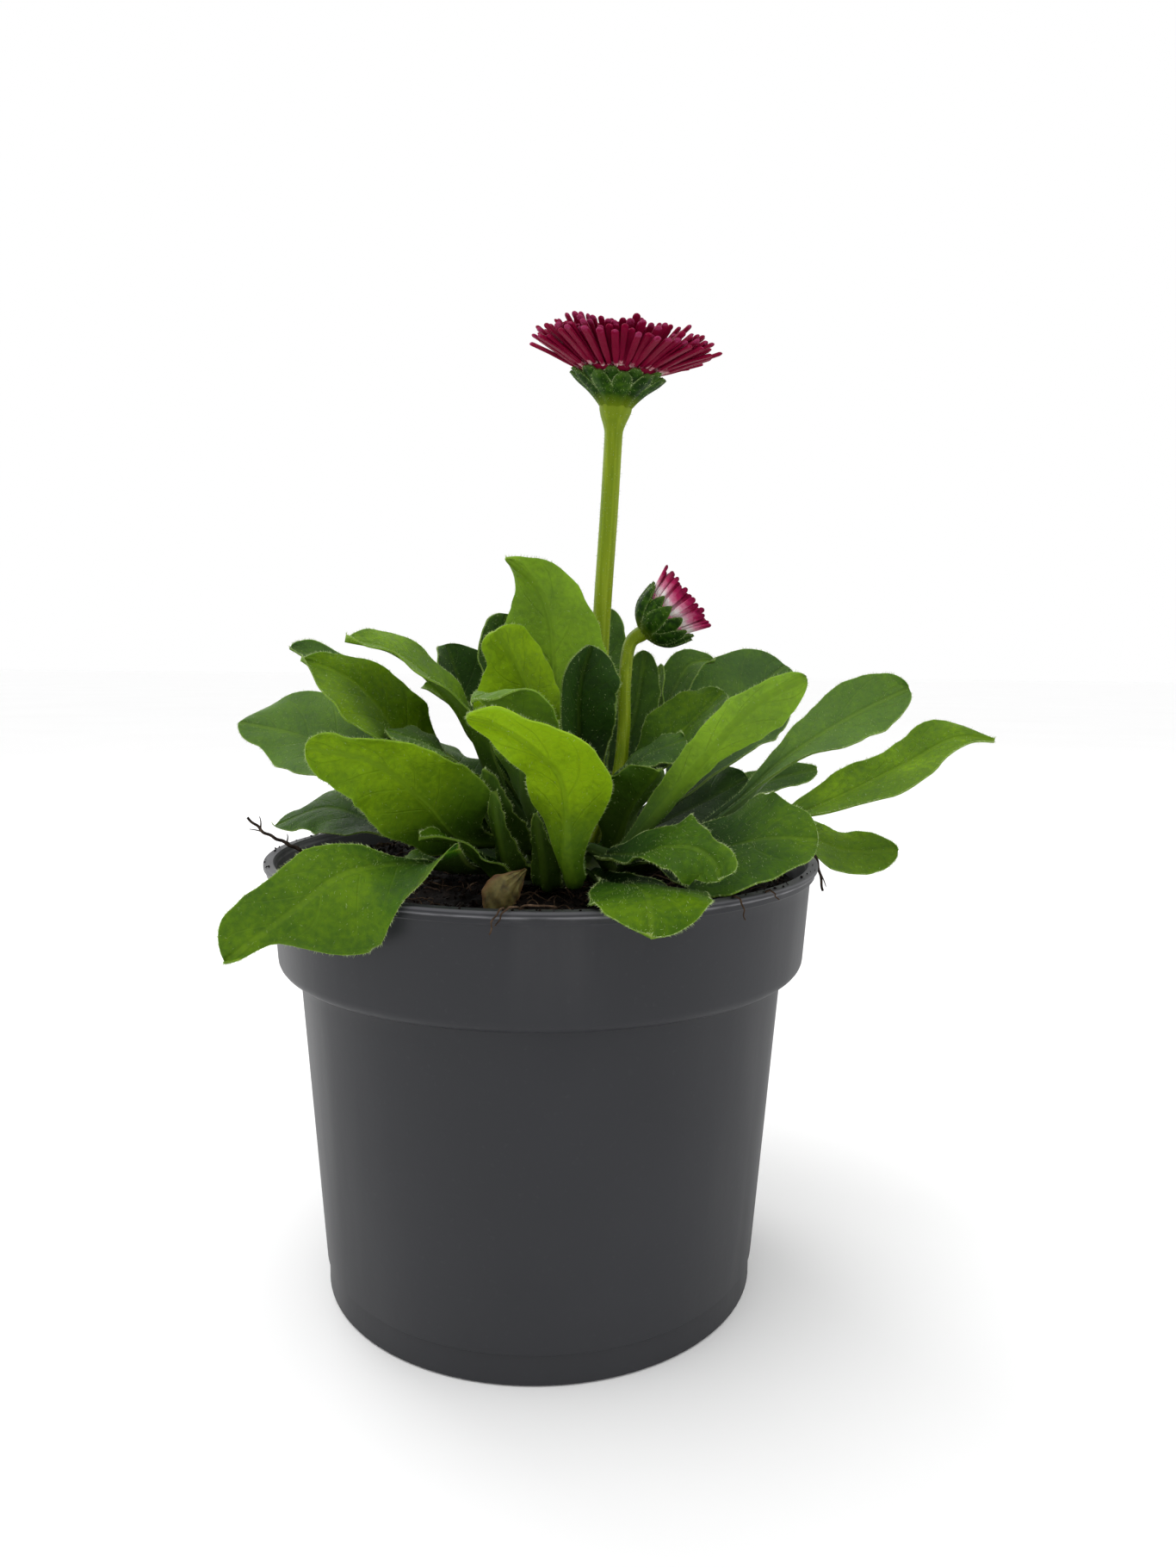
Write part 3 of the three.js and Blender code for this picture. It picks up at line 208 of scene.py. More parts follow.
# Each leaf: its root on the crown (ring latitude and base angle), the width of its blade, its
# tone (-1 dark and old to 1 young and yellow, where the darkest tones are partly painted shade
# and the brightest partly a painted glow of back light; and from 0 to 1 how bluish, partly the
# leaf's own blue-green and partly a painted pale sheen of sky), the route of its midrib, and
# what is unusual about it. Where given, edges scales the left and right widths from base to
# tip, lifts raises the edges, and face is the heading that its left side is square to, in
# place of the way from its root to its tip.
LEAVES = [
    leaf("front_left_low", OUTER, 222, 24, (0.1, 0.1),
         [[-15, -29, 96], [-26, -43, 99], [-35, -51.5, 98.5], [-42.5, -57, 93], [-53, -59, 85]],
         roll=[0, -55], fold=[0, 10], curl=[-50, -10], start=0.15, widest=0.62, taper=[1.4, 0.6],
         edges=[[1, 0.9, 0.6, 0.5, 0.6, 0.9, 1.1, 1.35, 1.2, 0.4, 0.5],
                [1, 0.5, 0.3, 0.2, 0.15, 0.2, 0.35, 0.65, 0.75, 1.1, 1.6]],
         lifts=[[0, 0, 0, 1, 6, 11, 8, 2, 0, 0, 0], [0] * 11]),
    # Its bright yellow-green tone is partly a painted glow of back light through the blade.
    leaf("left_bright", MIDDLE, 218, 20, (0.55, 0),
         [[-17, -24, 101], [-23, -33, 109.5], [-31, -41, 117.5], [-42, -46, 120.5]],
         roll=[50, 70], fold=[0, 0], curl=[-20, -25], start=0.05, widest=0.45, taper=[2.6, 0.5],
         edges=[[1, 0.6, 0.4, 0.55, 1, 1.15, 1, 0.85, 0.65, 0.55, 1],
                [1, 0.7, 0.6, 0.5, 0.6, 0.8, 1, 1, 1, 1, 1]]),
    # Its bright yellow-green tone is partly a painted glow of back light through the blade.
    leaf("centre_bright", MIDDLE, 276, 15, (0.9, 0),
         [[5.2, -21, 96], [6.2, -30, 95.8], [6, -35.8, 94.2], [4.9, -38.3, 99], [4.5, -39.3, 107],
          [3, -43, 115.5], [-2, -47, 121], [-8, -50, 125], [-13, -52, 126.5]],
         roll=[0, 8], fold=[15, 0], curl=[-10, -15], start=0.38, widest=0.65,
         edges=[[1, 1, 1, 1, 0.85, 0.9, 1.15, 1.25, 1, 0.66, 0.8],
                [1, 1, 1, 0.9, 0.8, 0.85, 0.95, 0.85, 0.7, 0.82, 1]]),
    leaf("small_front_left", OUTER, 238, 9, (0.3, 0),
         [[-7, -25, 91.7], [-12, -31.5, 97.5], [-18, -36, 102.5], [-23, -38, 103]],
         roll=[0, -20], fold=[10, 10]),
    leaf("yellow_low", OUTER, 196, 10, (0.8, 0),
         [[-19, -10, 92], [-24, -12, 94], [-31, -15, 93]],
         roll=[0, -10], fold=[5, 5], curl=[-10, -10]),
    leaf("front_right_upper", OUTER, 306, 24, (0.05, 0.1),
         [[12, -30, 98.5], [18, -40, 100.5], [22, -47, 103], [27, -52, 103.5], [30, -54.5, 101.3],
          [30.5, -56, 98.7]],
         roll=[0, 50], fold=[5, 5], curl=[-10, -10],
         edges=[[1, 1, 0.7, 0.5, 0.5, 0.65, 0.8, 0.85, 0.6, 0.35, 0.8],
                [1, 0.8, 0.5, 0.35, 0.3, 0.3, 0.3, 0.35, 0.5, 0.7, 1]]),
    leaf("front_right_lobe", OUTER, 290, 21, (0.1, 0),
         [[13, -34, 93.5], [16, -48, 96.3], [18, -58, 96.4], [18, -64, 94.3], [18, -67, 91.5]],
         fold=[0, 0], curl=[-10, -10],
         edges=[[1, 1, 1, 1, 0.9, 0.8, 0.95, 1.15, 1.15, 1.1, 1],
                [1, 0.8, 0.5, 0.4, 0.4, 0.5, 0.65, 0.85, 0.95, 1, 1]]),
    leaf("big_right_front", OUTER, 328, 29, (0.0, 0.1),
         [[20, -18, 94], [32, -29, 99], [43, -36, 103], [52, -38, 103]],
         roll=[0, 42], fold=[5, 10], curl=[-10, -10],
         edges=[[1, 1, 1, 1, 1, 1.15, 1.3, 1.25, 1, 0.8, 1],
                [1, 1, 1, 1, 1.15, 1.2, 1.2, 1.2, 1.1, 0.8, 1]]),
    leaf("long_right", MIDDLE, 296, 16, (0.75, 0.45),
         [[15, -20, 97], [23, -30, 108], [30.5, -40, 119.5], [38, -46, 129], [46.5, -47, 133.7]],
         roll=[-30, -60], curl=[10, 20],
         edges=[[1, 1, 0.8, 0.6, 0.4, 0.3, 0.4, 0.6, 0.9, 1.1, 1],
                [1, 0.8, 0.6, 0.55, 0.55, 0.55, 0.5, 0.5, 0.45, 0.4, 0.6]]),
    leaf("right_inner_low", MIDDLE, 315, 17, (-0.2, 0),
         [[14, -12, 97], [18, -18, 107], [23, -21.5, 114.5]],
         roll=[0, -15]),
    leaf("right_dark_fuzzy", MIDDLE, 334, 17, (-0.1, 0.3),
         [[15, -10, 107], [21, -10, 116], [30, -11, 120]],
         roll=[0, 25], fold=[10, 10], curl=[-20, -20]),
    leaf("right_serrated", MIDDLE, 352, 17, (0.0, 0.1),
         [[20, -1, 105], [28, 1, 118], [40, 3, 130]],
         roll=[0, 30]),
    leaf("back_right_blue", MIDDLE, 30, 28, (0.0, 0.7),
         [[32, 12, 106], [44, 23, 121], [52, 28, 130], [60, 31, 136]],
         roll=[0, 45], fold=[10, 10]),
    leaf("far_right_up", OUTER, 8, 19, (0.3, 0.7),
         [[32, -1, 97], [43, 1, 105], [53, 3, 114], [62, 5, 120], [73, 7, 126], [83, 6, 131]],
         roll=[0, 50], fold=[10, 10], start=0.4, widest=0.74,
         edges=[[1, 0.8, 0.7, 0.6, 0.5, 0.5, 0.55, 0.7, 0.9, 1, 1], EVEN]),
    leaf("far_right_long", OUTER, 346, 17, (0.35, 0.15),
         [[41, -9, 95.5], [53, -10, 103], [65, -11, 109], [78, -12, 116], [87, -13, 121],
          [95, -14, 121]],
         roll=[0, 40], fold=[10, 10], curl=[5, 5], start=0.4, widest=0.66, taper=[1.3, 0.8],
         edges=[[1, 1, 1, 0.9, 0.9, 0.9, 0.85, 0.6, 1, 1.6, 1], [1, 1, 1, 1, 1, 1, 1, 1.3, 1.5, 1, 1]]),
    leaf("right_low_back", OUTER, 24, 13.5, (0.35, 0.2),
         [[30, 10, 95], [50, 13, 96.5], [60, 14, 96.3], [72, 13, 92.5], [84, 12, 92.3]],
         roll=[0, 50], fold=[5, 5], curl=[5, 5], start=0.55, widest=0.75,
         edges=[[1, 1, 1, 1, 1, 1, 0.9, 0.9, 0.9, 1, 1], [1, 1, 1, 1, 1, 1, 1, 1.2, 1.3, 1.1, 1]]),
    leaf("right_back_low", OUTER, 40, 20, (-0.1, 0.6),
         [[26, 12, 98], [38, 18, 103], [49, 20, 109]],
         roll=[0, 40], fold=[10, 10], curl=[-20, -30], wave=1.8),
    leaf("right_back_far", OUTER, 56, 10, (0.1, 0.5),
         [[36, 22, 99], [56, 30, 107], [69, 32, 110]],
         roll=[0, 40], fold=[10, 10], curl=[5, 5]),
    leaf("spoon_right", MIDDLE, 54, 9, (-0.1, 0.4),
         [[24, 16, 116], [31, 21, 130], [35, 23, 136], [41, 24, 137]],
         roll=[0, 30], fold=[10, 10], start=0.5, widest=0.84),
    leaf("upright_right", MIDDLE, 10, 10, (-0.1, 0.3),
         [[17, 6, 110], [21, 10, 126], [23, 11, 139]],
         roll=[40, 40]),
    leaf("upright_pale", INNER, 70, 8, (0.2, 0.4),
         [[20, 10, 110], [25, 14, 124], [27, 16, 136]],
         roll=[20, 20]),
    leaf("behind_stalk", HEART, 40, 16, (-0.1, 0.3),
         [[8, 12, 114], [12, 19, 132], [15, 23, 149]]),
    leaf("tall", HEART, 260, 25, (0.75, 0.4),
         [[3, -5, 112], [2, -7, 130], [1, -9, 144], [-2, -11, 152], [-8, -14, 157]],
         curl=[10, 15], widest=0.55, taper=[1.4, 0.8], face=262,
         edges=[EVEN, [1, 1, 1, 1, 1, 1, 1.1, 1.15, 1.15, 1, 1]]),
    # Its dark tone is painted shade: a hollow blade whose upper side lies in shade.
    leaf("dark_centre", INNER, 285, 20, (-0.6, 0.1),
         [[7, -16, 107], [7, -20, 121], [7, -23, 131], [9, -24, 139.3]],
         fold=[65, 5], curl=[10, 15], face=90,
         edges=[[1, 1, 1, 1, 1, 1, 1, 1, 1.1, 1.4, 1.2], [1, 1, 1, 0.9, 0.8, 0.7, 0.7, 0.75, 0.8, 1, 1]]),
    leaf("yellow_upright", INNER, 245, 21, (0.85, 0),
         [[-0.7, -10, 112], [-2.5, -12.8, 125], [-6, -16, 135], [-10, -19, 142]],
         face=295,
         edges=[[1, 1, 1, 0.8, 0.8, 0.8, 0.8, 0.8, 0.8, 0.9, 1],
                [1, 1, 0.9, 0.7, 0.6, 0.75, 1.1, 1.15, 0.9, 0.6, 0.8]]),
    leaf("fuzzy_arch", MIDDLE, 258, 14, (0.45, 0.45),
         [[-3, -20, 108], [-4, -28, 119], [-5, -36, 127], [-9, -40, 130], [-13, -42, 129]],
         roll=[0, 10], fold=[10, 10], curl=[-10, -10]),
    leaf("arched_left", INNER, 209, 14, (0.4, 0.3),
         [[-9, -8, 108], [-15, -12, 122], [-22, -15, 131], [-31, -17, 138], [-40, -18, 140]],
         roll=[0, -25], fold=[10, 10],
         edges=[EVEN, [1, 1, 1, 1, 1, 1, 1, 1.1, 1.3, 1.4, 1]]),
    leaf("left_pointed", MIDDLE, 181, 23, (0.25, 0),
         [[-17, -6, 104], [-29, -9, 118], [-37, -11, 129], [-42, -12, 133], [-50, -13, 136]],
         roll=[-10, -45], fold=[10, 10], widest=0.6, taper=[1.3, 0.7],
         edges=[[1, 1, 1, 1, 1, 1.1, 1.3, 1.6, 1.9, 1.9, 1], EVEN]),
    leaf("left_round_tip", MIDDLE, 162, 11.9, (-0.1, 0.4),
         [[-22, 8, 110], [-40, 12, 123], [-49, 15, 134], [-59, 16, 139]],
         roll=[0, -15], fold=[10, 10], start=0.4, widest=0.8),
    leaf("left_blue", OUTER, 168, 24, (0.2, 0.65),
         [[-26, 6, 101], [-43, 14, 112], [-58, 20, 118], [-73, 22, 121]],
         roll=[0, -45], fold=[10, 10], curl=[-15, -15], taper=[1.8, 0.6],
         edges=[[1, 1, 1, 1, 1, 1, 1, 1, 1, 0.8, 1], [1, 1, 1, 1, 1, 1, 1.1, 1.3, 1.5, 1.4, 1]]),
    leaf("left_low_back", OUTER, 150, 18, (-0.1, 0.4),
         [[-26, 10, 94], [-42, 20, 98], [-54, 27, 100], [-67, 30, 95]],
         roll=[0, -40], fold=[5, 5], curl=[-15, -15], taper=[1.6, 0.6]),
    leaf("top_left_dark", INNER, 130, 23, (-0.4, 0.1),
         [[-10, 5, 111], [-18, 12, 127], [-23, 15, 140]],
         roll=[0, -10]),
    leaf("behind_tall", HEART, 150, 21, (-0.3, 0.1),
         [[-4, 4, 115], [-8, 9, 128], [-10, 11, 138], [-9, 12, 147]],
         roll=[0, -10], face=140),
    leaf("left_inner_arc", MIDDLE, 200, 20, (0.0, 0.1),
         [[-13, -13, 107], [-22.5, -19.5, 118.5], [-31.5, -21.5, 122]],
         roll=[0, -20], fold=[10, 10], curl=[-10, -10]),
    leaf("left_inner_tip", INNER, 172, 10, (0.1, 0.1),
         [[-11, -2, 113], [-18, -2.5, 125], [-26, -3, 131]],
         roll=[0, -20], fold=[10, 10]),
    leaf("front_inner_left", MIDDLE, 239, 9, (-0.25, 0),
         [[-6, -20, 99], [-9.6, -26, 107], [-11.6, -28, 115]],
         roll=[0, 10], widest=0.55, taper=[1.6, 0.8]),
    leaf("front_inner_mid", OUTER, 253, 6, (-0.3, 0),
         [[-2.3, -21, 94], [-6.6, -27.5, 96], [-8.2, -30, 102], [-9.6, -31, 111]],
         widest=0.55, taper=[1.6, 0.8]),
    leaf("front_strip", OUTER, 268, 6, (-0.3, 0),
         [[2.3, -20, 91.6], [0.8, -27, 91.8], [0, -30, 98], [-1.4, -32, 107]],
         widest=0.55, taper=[1.6, 0.8]),
]


def ease(low, high, value):
    share = np.clip((np.asarray(value, float) - low) / (high - low), 0, 1)
    return share * share * (3 - 2 * share)


def lerp(a, b, share):
    return a + (b - a) * share


def scatter(number):
    """A wild value between -1 and 1 that is always the same for the same number."""
    wild = math.sin(number * 12.9898) * 43758.5453
    return 2 * (wild - math.floor(wild)) - 1


def vary(amount, number):
    return 1 + amount * scatter(number)


def unit(rows):
    return rows / np.linalg.norm(rows, axis=-1, keepdims=True)


def turns(sides):
    return 2 * np.pi * np.arange(sides) / sides


def square_to(along, rough):
    """The direction nearest a rough one that is square to each step along a line."""
    return unit(rough - along * (along @ rough)[:, None])


def sweep(centre, side, across, normal, lift):
    """A grid of points: in each row a centre, moved along its side and along its normal."""
    return (centre[:, None, :] + side[:, None, :] * across[..., None]
            + normal[:, None, :] * lift[..., None])


def polar(radius, turn, z):
    return np.stack(np.broadcast_arrays(radius * np.cos(turn), radius * np.sin(turn), z), axis=-1)


def colour(code):
    values = [int(code[i:i + 2], 16) / 255 for i in (0, 2, 4)]
    return tuple(v / 12.92 if v < 0.04045 else ((v + 0.055) / 1.055) ** 2.4 for v in values) + (1,)


# A shape: points in millimetres, faces, the material slot of each face, values at the points
class Shape:
    def __init__(self):
        self.points = []
        self.faces = []
        self.values = {}
        self.count = 0
        self.slots = []

    def add(self, points, faces, slot=0, **values):
        points = np.asarray(points, float).reshape(-1, 3)
        self.points.append(points)
        self.faces.extend([tuple(int(k) + self.count for k in face) for face in faces])
        self.slots.extend([slot] * len(faces))
        for name in {**self.values, **values}:
            column = self.values.setdefault(name, [np.zeros(self.count)])
            value = values.get(name, 0)
            column.append(np.broadcast_to(np.asarray(value, float).ravel(), len(points)).copy())
        self.count += len(points)
        return self

    def add_sheet(self, upper, under, **values):
        """A closed sheet between two grids of points; each value fits such a grid."""
        grid = upper.shape[:2]
        both = {name: np.tile(np.broadcast_to(value, grid).ravel(), 2)
                for name, value in values.items()}
        return self.add(np.concatenate([upper, under]), sheet_faces(*grid),
                        under=np.repeat([0.0, 1.0], grid[0] * grid[1]), **both)

    def add_skin(self, rings, slot=0, **values):
        """A closed skin over rings of points; each value fits their grid."""
        grid = rings.shape[:2]
        values = {name: np.broadcast_to(value, grid) for name, value in values.items()}
        return self.add(rings, ring_faces(*grid), slot, **values)

    def placed(self, matrix, offset):
        self.points = [points @ matrix.T + offset for points in self.points]
        return self


def new_mesh(name, points, faces):
    mesh = bpy.data.meshes.new(name)
    mesh.from_pydata((np.asarray(points, float) * MM).tolist(), [], faces)
    return mesh


def new_object(name, data):
    made = bpy.data.objects.new(name, data)
    bpy.context.collection.objects.link(made)
    return made


def piece(name, shape, materials, nodes, sharp=SHARP):
    mesh = new_mesh(name, np.concatenate(shape.points), shape.faces)
    for key, columns in shape.values.items():
        layer = mesh.attributes.new(key, "FLOAT", "POINT")
        layer.data.foreach_set("value", np.concatenate(columns).astype(np.float32))
    for material in materials:
        mesh.materials.append(material)
    mesh.polygons.foreach_set("material_index", shape.slots)
    mesh.polygons.foreach_set("use_smooth", [True] * len(shape.faces))
    mesh.set_sharp_from_angle(angle=math.radians(sharp))
    mesh.update()
    made = new_object(name, mesh)
    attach(made, "root")
    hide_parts(*nodes)
    return made


# A smooth line through points: a centripetal Catmull-Rom spline, walked by its length.
class Line:
    def __init__(self, points):
        self.knots = np.asarray(points, float)
        self.shares = np.linspace(0, 1, LINE_SAMPLES + 1)
        steps = np.linalg.norm(np.diff(self.at_share(self.shares), axis=0), axis=1)
        self.lengths = np.concatenate([[0], np.cumsum(steps)])

    def at_share(self, shares):
        knots = self.knots
        last = len(knots) - 1
        first = 2 * knots[0] - knots[1]
        end = 2 * knots[-1] - knots[-2]
        padded = np.vstack([first, knots, end])
        place = np.clip(np.asarray(shares, float), 0, 1) * last
        i = np.minimum(place.astype(int), last - 1)
        w = (place - i)[:, None]
        p0, p1, p2, p3 = (padded[i + k] for k in range(4))
        d0, d1, d2 = (np.linalg.norm(b - a, axis=1, keepdims=True) ** 0.5
                      for a, b in ((p0, p1), (p1, p2), (p2, p3)))
        m1 = ((p1 - p0) / d0 - (p2 - p0) / (d0 + d1) + (p2 - p1) / d1) * d1
        m2 = ((p2 - p1) / d1 - (p3 - p1) / (d1 + d2) + (p3 - p2) / d2) * d1
        return (p1 + m1 * w + (3 * (p2 - p1) - 2 * m1 - m2) * w ** 2
                + (2 * (p1 - p2) + m1 + m2) * w ** 3)

    def walk(self, s):
        """The points at shares of the length, and the directions there."""
        shares = np.interp(np.asarray(s, float) * self.lengths[-1], self.lengths, self.shares)
        ahead = self.at_share(np.minimum(shares + LINE_STEP, 1))
        behind = self.at_share(np.maximum(shares - LINE_STEP, 0))
        return self.at_share(shares), unit(ahead - behind)


def tube(points, radii, sides):
    """The rings of a round skin with that radius at each point of a line."""
    points = np.asarray(points, float)
    along = unit(np.gradient(points, axis=0))
    normal = np.cross(along[0], TUBE_START)
    normals = []
    for way in along:
        normal = unit(normal - way * normal.dot(way))
        normals.append(normal)
    turn, radii = turns(sides), radii[:, None]
    return sweep(points, np.array(normals), radii * np.cos(turn),
                 np.cross(along, normals), radii * np.sin(turn))


def ring_faces(rows, sides):
    """The faces of a closed skin: rings of points, then a cap at the first and the last."""
    faces = []
    for i in range(rows - 1):
        for j in range(sides):
            a, b = i * sides + j, i * sides + (j + 1) % sides
            faces.append((a, b, b + sides, a + sides))
    last = (rows - 1) * sides
    faces.append(tuple(range(sides - 1, -1, -1)))
    faces.append(tuple(range(last, last + sides)))
    return faces


def sheet_faces(rows, columns):
    """The faces of a closed sheet: its upper grid of points, then its under grid."""
    under = rows * columns
    faces = []
    for i in range(rows - 1):
        for j in range(columns - 1):
            a, b = i * columns + j, (i + 1) * columns + j
            faces.append((a, b, b + 1, a + 1))
            faces.append((under + a, under + a + 1, under + b + 1, under + b))
        a, b = i * columns, (i + 1) * columns
        faces.append((a, under + a, under + b, b))
        a, b = a + columns - 1, b + columns - 1
        faces.append((a, b, under + b, under + a))
    for j in range(columns - 1):
        faces.append((j, j + 1, under + j + 1, under + j))
        a = (rows - 1) * columns + j
        faces.append((a, under + a, under + a + 1, a + 1))
    return faces


def hairs(shape, roots, directions, lengths):
    """Thin straight hairs with three sides, in the second material of their piece."""
    directions = unit(directions)
    helper = np.where(np.abs(directions[:, 2:]) > 0.8, [[1.0, 0, 0]], [[0, 0, 1.0]])
    across = unit(np.cross(directions, helper))
    other = np.cross(directions, across)
    points = [roots + HAIR_RADIUS * (math.cos(turn) * across + math.sin(turn) * other)
              - 0.05 * directions for turn in turns(3)]
    points.append(roots + directions * RANDOM.uniform(*lengths, (len(roots), 1)))
    faces = [(a + k, a + (k + 1) % 3, a + 3) for a in range(0, 4 * len(roots), 4) for k in range(3)]
    shape.add(np.stack(points, axis=1), faces, slot=HAIR_SLOT)


def growth_line(latitude, angle, route):
    """A line that leaves the crown square to its dome and then follows a route."""
    lat, turn = math.radians(latitude), math.radians(angle)
    x, y = math.cos(lat) * math.cos(turn), math.cos(lat) * math.sin(turn)
    up = math.sin(lat)
    out = unit(np.array([x / CROWN_RADIUS, y / CROWN_RADIUS, up / CROWN_DOME]))
    root = CROWN_CENTRE + np.array([x * CROWN_RADIUS, y * CROWN_RADIUS, up * CROWN_DOME])
    root = root + CLEARANCE * out
    return Line([root, root + EMERGENCE * out, *route])


def smooth_run(values, shares):
    """A smooth run through evenly spaced values, read at shares from 0 to 1."""
    values = np.asarray(values, float)
    last = len(values) - 1
    place = np.asarray(shares, float) * last
    first = np.minimum(np.floor(place), last - 1).astype(int)
    before, start, end, after = (values[np.clip(first + k, 0, last)] for k in (-1, 0, 1, 2))
    share = place - first
    leave, arrive = (end - before) / 2, (after - start) / 2
    bend = 3 * (end - start) - 2 * leave - arrive
    twist = 2 * (start - end) + leave + arrive
    return start + share * (leave + share * (bend + share * twist))


def both_sides(leaf, key, s, left, usual):
    """A value at each point of a leaf, from its left and its right run along the leaf."""
    if key not in leaf:
        return usual
    return np.where(left, *(smooth_run(values, s) for values in leaf[key]))


def half_width(leaf, s):
    widest = leaf["widest"]
    power, root = leaf["taper"]
    wing = lerp(PETIOLE_WIDTH, min(WING_WIDTH, leaf["width"]), ease(WING_FROM, WING_TO, s)) / 2
    spread = wing + (leaf["width"] / 2 - wing) * ease(leaf["start"], widest, s)
    beyond = np.maximum(0, (s - widest) / (1 - widest))
    return np.maximum(spread * np.maximum(0, 1 - beyond ** power) ** root, TIP_HALF_WIDTH)


def edged_width(leaf, s, left, blade, phase):
    """The half width with the leaf's own run of edges, its teeth and its nicks."""
    tooth = np.abs(np.sin(np.pi * (TEETH * s + 2 * phase))) ** 0.7 - 0.6
    half = half_width(leaf, s) * both_sides(leaf, "edges", s, left, 1)
    half = np.maximum(half, TIP_HALF_WIDTH) * (1 + TOOTH * tooth * blade)
    nick = 0.6 * np.sin(67 * s + 7 * phase) + 0.4 * np.sin(109 * s + 13 * phase)
    return half + NICK * nick * blade * ease(1.0, 0.9, s)


def edge_wave(leaf, s, reach, left, blade, phase):
    """How far waves, frills and the leaf's own lifts raise its blade."""
    ripple = np.sin(2 * np.pi * (WAVES_PER_LEAF * s + phase))
    frill = np.sin(2 * np.pi * (FRILLS_PER_LEAF * s + 3 * phase + 0.4 * np.sin(5 * s)))
    wave = leaf["wave"] * blade * reach ** 2 * ripple
    wave = wave + FRILL * blade * reach ** 3 * frill * min(1, leaf["width"] / 14)
    return wave + both_sides(leaf, "lifts", s, left, 0) * reach ** 2


def leaf_rows():
    """Shares of a leaf's length, closer together towards the tip."""
    return np.concatenate([
        np.linspace(0, 0.2, 9),
        np.linspace(0.2, 0.92, 41)[1:],
        1 - 0.08 * (1 - np.linspace(0, 1, 12)[1:]) ** 2,
    ])


def midrib(leaf, s):
    """The line of a midrib, its points, and the left and the upper directions there."""
    line = growth_line(leaf["ring"], leaf["base"], leaf["route"])
    centre, along = line.walk(s)
    tip, root = line.knots[-1], line.knots[0]
    heading = math.atan2(tip[1] - root[1], tip[0] - root[0])
    if "face" in leaf:
        heading = math.radians(leaf["face"])
    side = square_to(along, np.array([-math.sin(heading), math.cos(heading), 0]))
    roll = np.radians(lerp(*leaf["roll"], s))[:, None]
    side = side * np.cos(roll) + np.cross(along, side) * np.sin(roll)
    return line, centre, side, np.cross(along, side)


def leaf_shape(leaf, index):
    """The leaf as in the plain solids, with finer edges, veins, a grooved midrib and hairs."""
    rows = leaf_rows()
    line, centre, side, normal = midrib(leaf, rows)
    q = np.linspace(-1, 1, LEAF_COLUMNS)
    s, t = rows[:, None], (np.sign(q) * np.abs(q) ** 1.15)[None, :]
    reach, sign, left = np.abs(t), np.sign(t), t > 0
    blade = ease(leaf["start"] - 0.1, leaf["widest"], s)
    phase = scatter(index) + np.where(left, 0.25, 0)
    half = edged_width(leaf, s, left, blade, phase)
    slope = np.radians(lerp(PETIOLE_FOLD, np.where(left, *leaf["fold"]), blade))
    bend = np.radians(np.where(left, *leaf["curl"])) * blade + 1e-6
    angle = slope + bend * reach
    across = half * (np.sin(angle) - np.sin(slope)) / bend
    wave = edge_wave(leaf, s, reach, left, blade, phase)
    lift = half * (np.cos(slope) - np.cos(angle)) / bend + wave
    points = sweep(centre, side, sign * across, normal, lift)
    facing = unit(normal[:, None, :] * np.cos(angle)[..., None]
                  - side[:, None, :] * (sign * np.sin(angle))[..., None])

    vein = VEIN_PAIRS * s - VEIN_SLANT * reach + 0.15 * np.sin(9 * s + 7 * phase)
    quilt = VEIN_DEPTH * (0.5 - 0.5 * np.cos(2 * np.pi * vein)) * blade
    quilt = quilt * np.sin(np.pi * np.clip(reach * 1.02, 0, 1)) * min(1, leaf["width"] / 16)
    near = np.exp(-(across / MIDRIB_SPREAD) ** 2)
    groove = MIDRIB_GROOVE * near * (1 - 0.8 * s) * ease(0.02, 0.2, s)
    ridge = MIDRIB_RIDGE * near * (1 - 0.9 * s) * blade
    thinness = np.maximum(blade, 0.6 * reach)
    thickness = lerp(PETIOLE_THICKNESS, BLADE_THICKNESS, thinness) * (1 - 0.35 * reach ** 4)
    upper = points + facing * (quilt - groove)[..., None]
    under = points + facing * (quilt - groove - thickness - ridge)[..., None]
    shape = Shape().add_sheet(upper, under, along=s, across=t, wide=half, vein=vein, blade=blade,
                              tone=leaf["tone"][0], blue=leaf["tone"][1])
    edge_hairs(shape, points, line.lengths[-1])
    face_hairs(shape, points, facing, upper, under, line.lengths[-1])
    return shape


def edge_hairs(shape, points, length):
    rows, columns = points.shape[:2]
    count = int(EDGE_HAIRS_PER_MM * length)
    for edge, inside in ((columns - 1, columns - 2), (0, 1)):
        at = RANDOM.choice(np.arange(HAIRLESS_ROWS, rows - 1), count)
        share = RANDOM.random(count)[:, None]
        roots = points[at, edge] * (1 - share) + points[at + 1, edge] * share
        out = unit(points[at, edge] - points[at, inside])
        forward = unit(points[at + 1, edge] - points[at, edge])
        lean = out + 0.5 * forward + RANDOM.normal(0, 0.3, (count, 3))
        hairs(shape, roots, lean, EDGE_HAIR_LENGTH)


def face_hairs(shape, points, facing, upper, under, length):
    rows, columns = points.shape[:2]
    wide = np.linalg.norm(points[:, -1] - points[:, 0], axis=1)
    count = int(FACE_HAIRS_PER_MM2 * (wide.mean() * length))
    weights = wide[:-1] * np.linalg.norm(np.diff(points[:, columns // 2], axis=0), axis=1)
    at = RANDOM.choice(rows - 1, count, p=weights / weights.sum())
    where = RANDOM.integers(0, columns - 1, count)
    share = RANDOM.random(count)[:, None]
    above = count * 2 // 3
    for face, way, part in ((upper, 1, slice(0, above)), (under, -1, slice(above, count))):
        i, j, w = at[part], where[part], share[part]
        roots = face[i, j] * (1 - w) + face[i + 1, j + 1] * w
        lean = way * facing[i, j] + RANDOM.normal(0, 0.45, (len(i), 3))
        hairs(shape, roots, lean, FACE_HAIR_LENGTH)


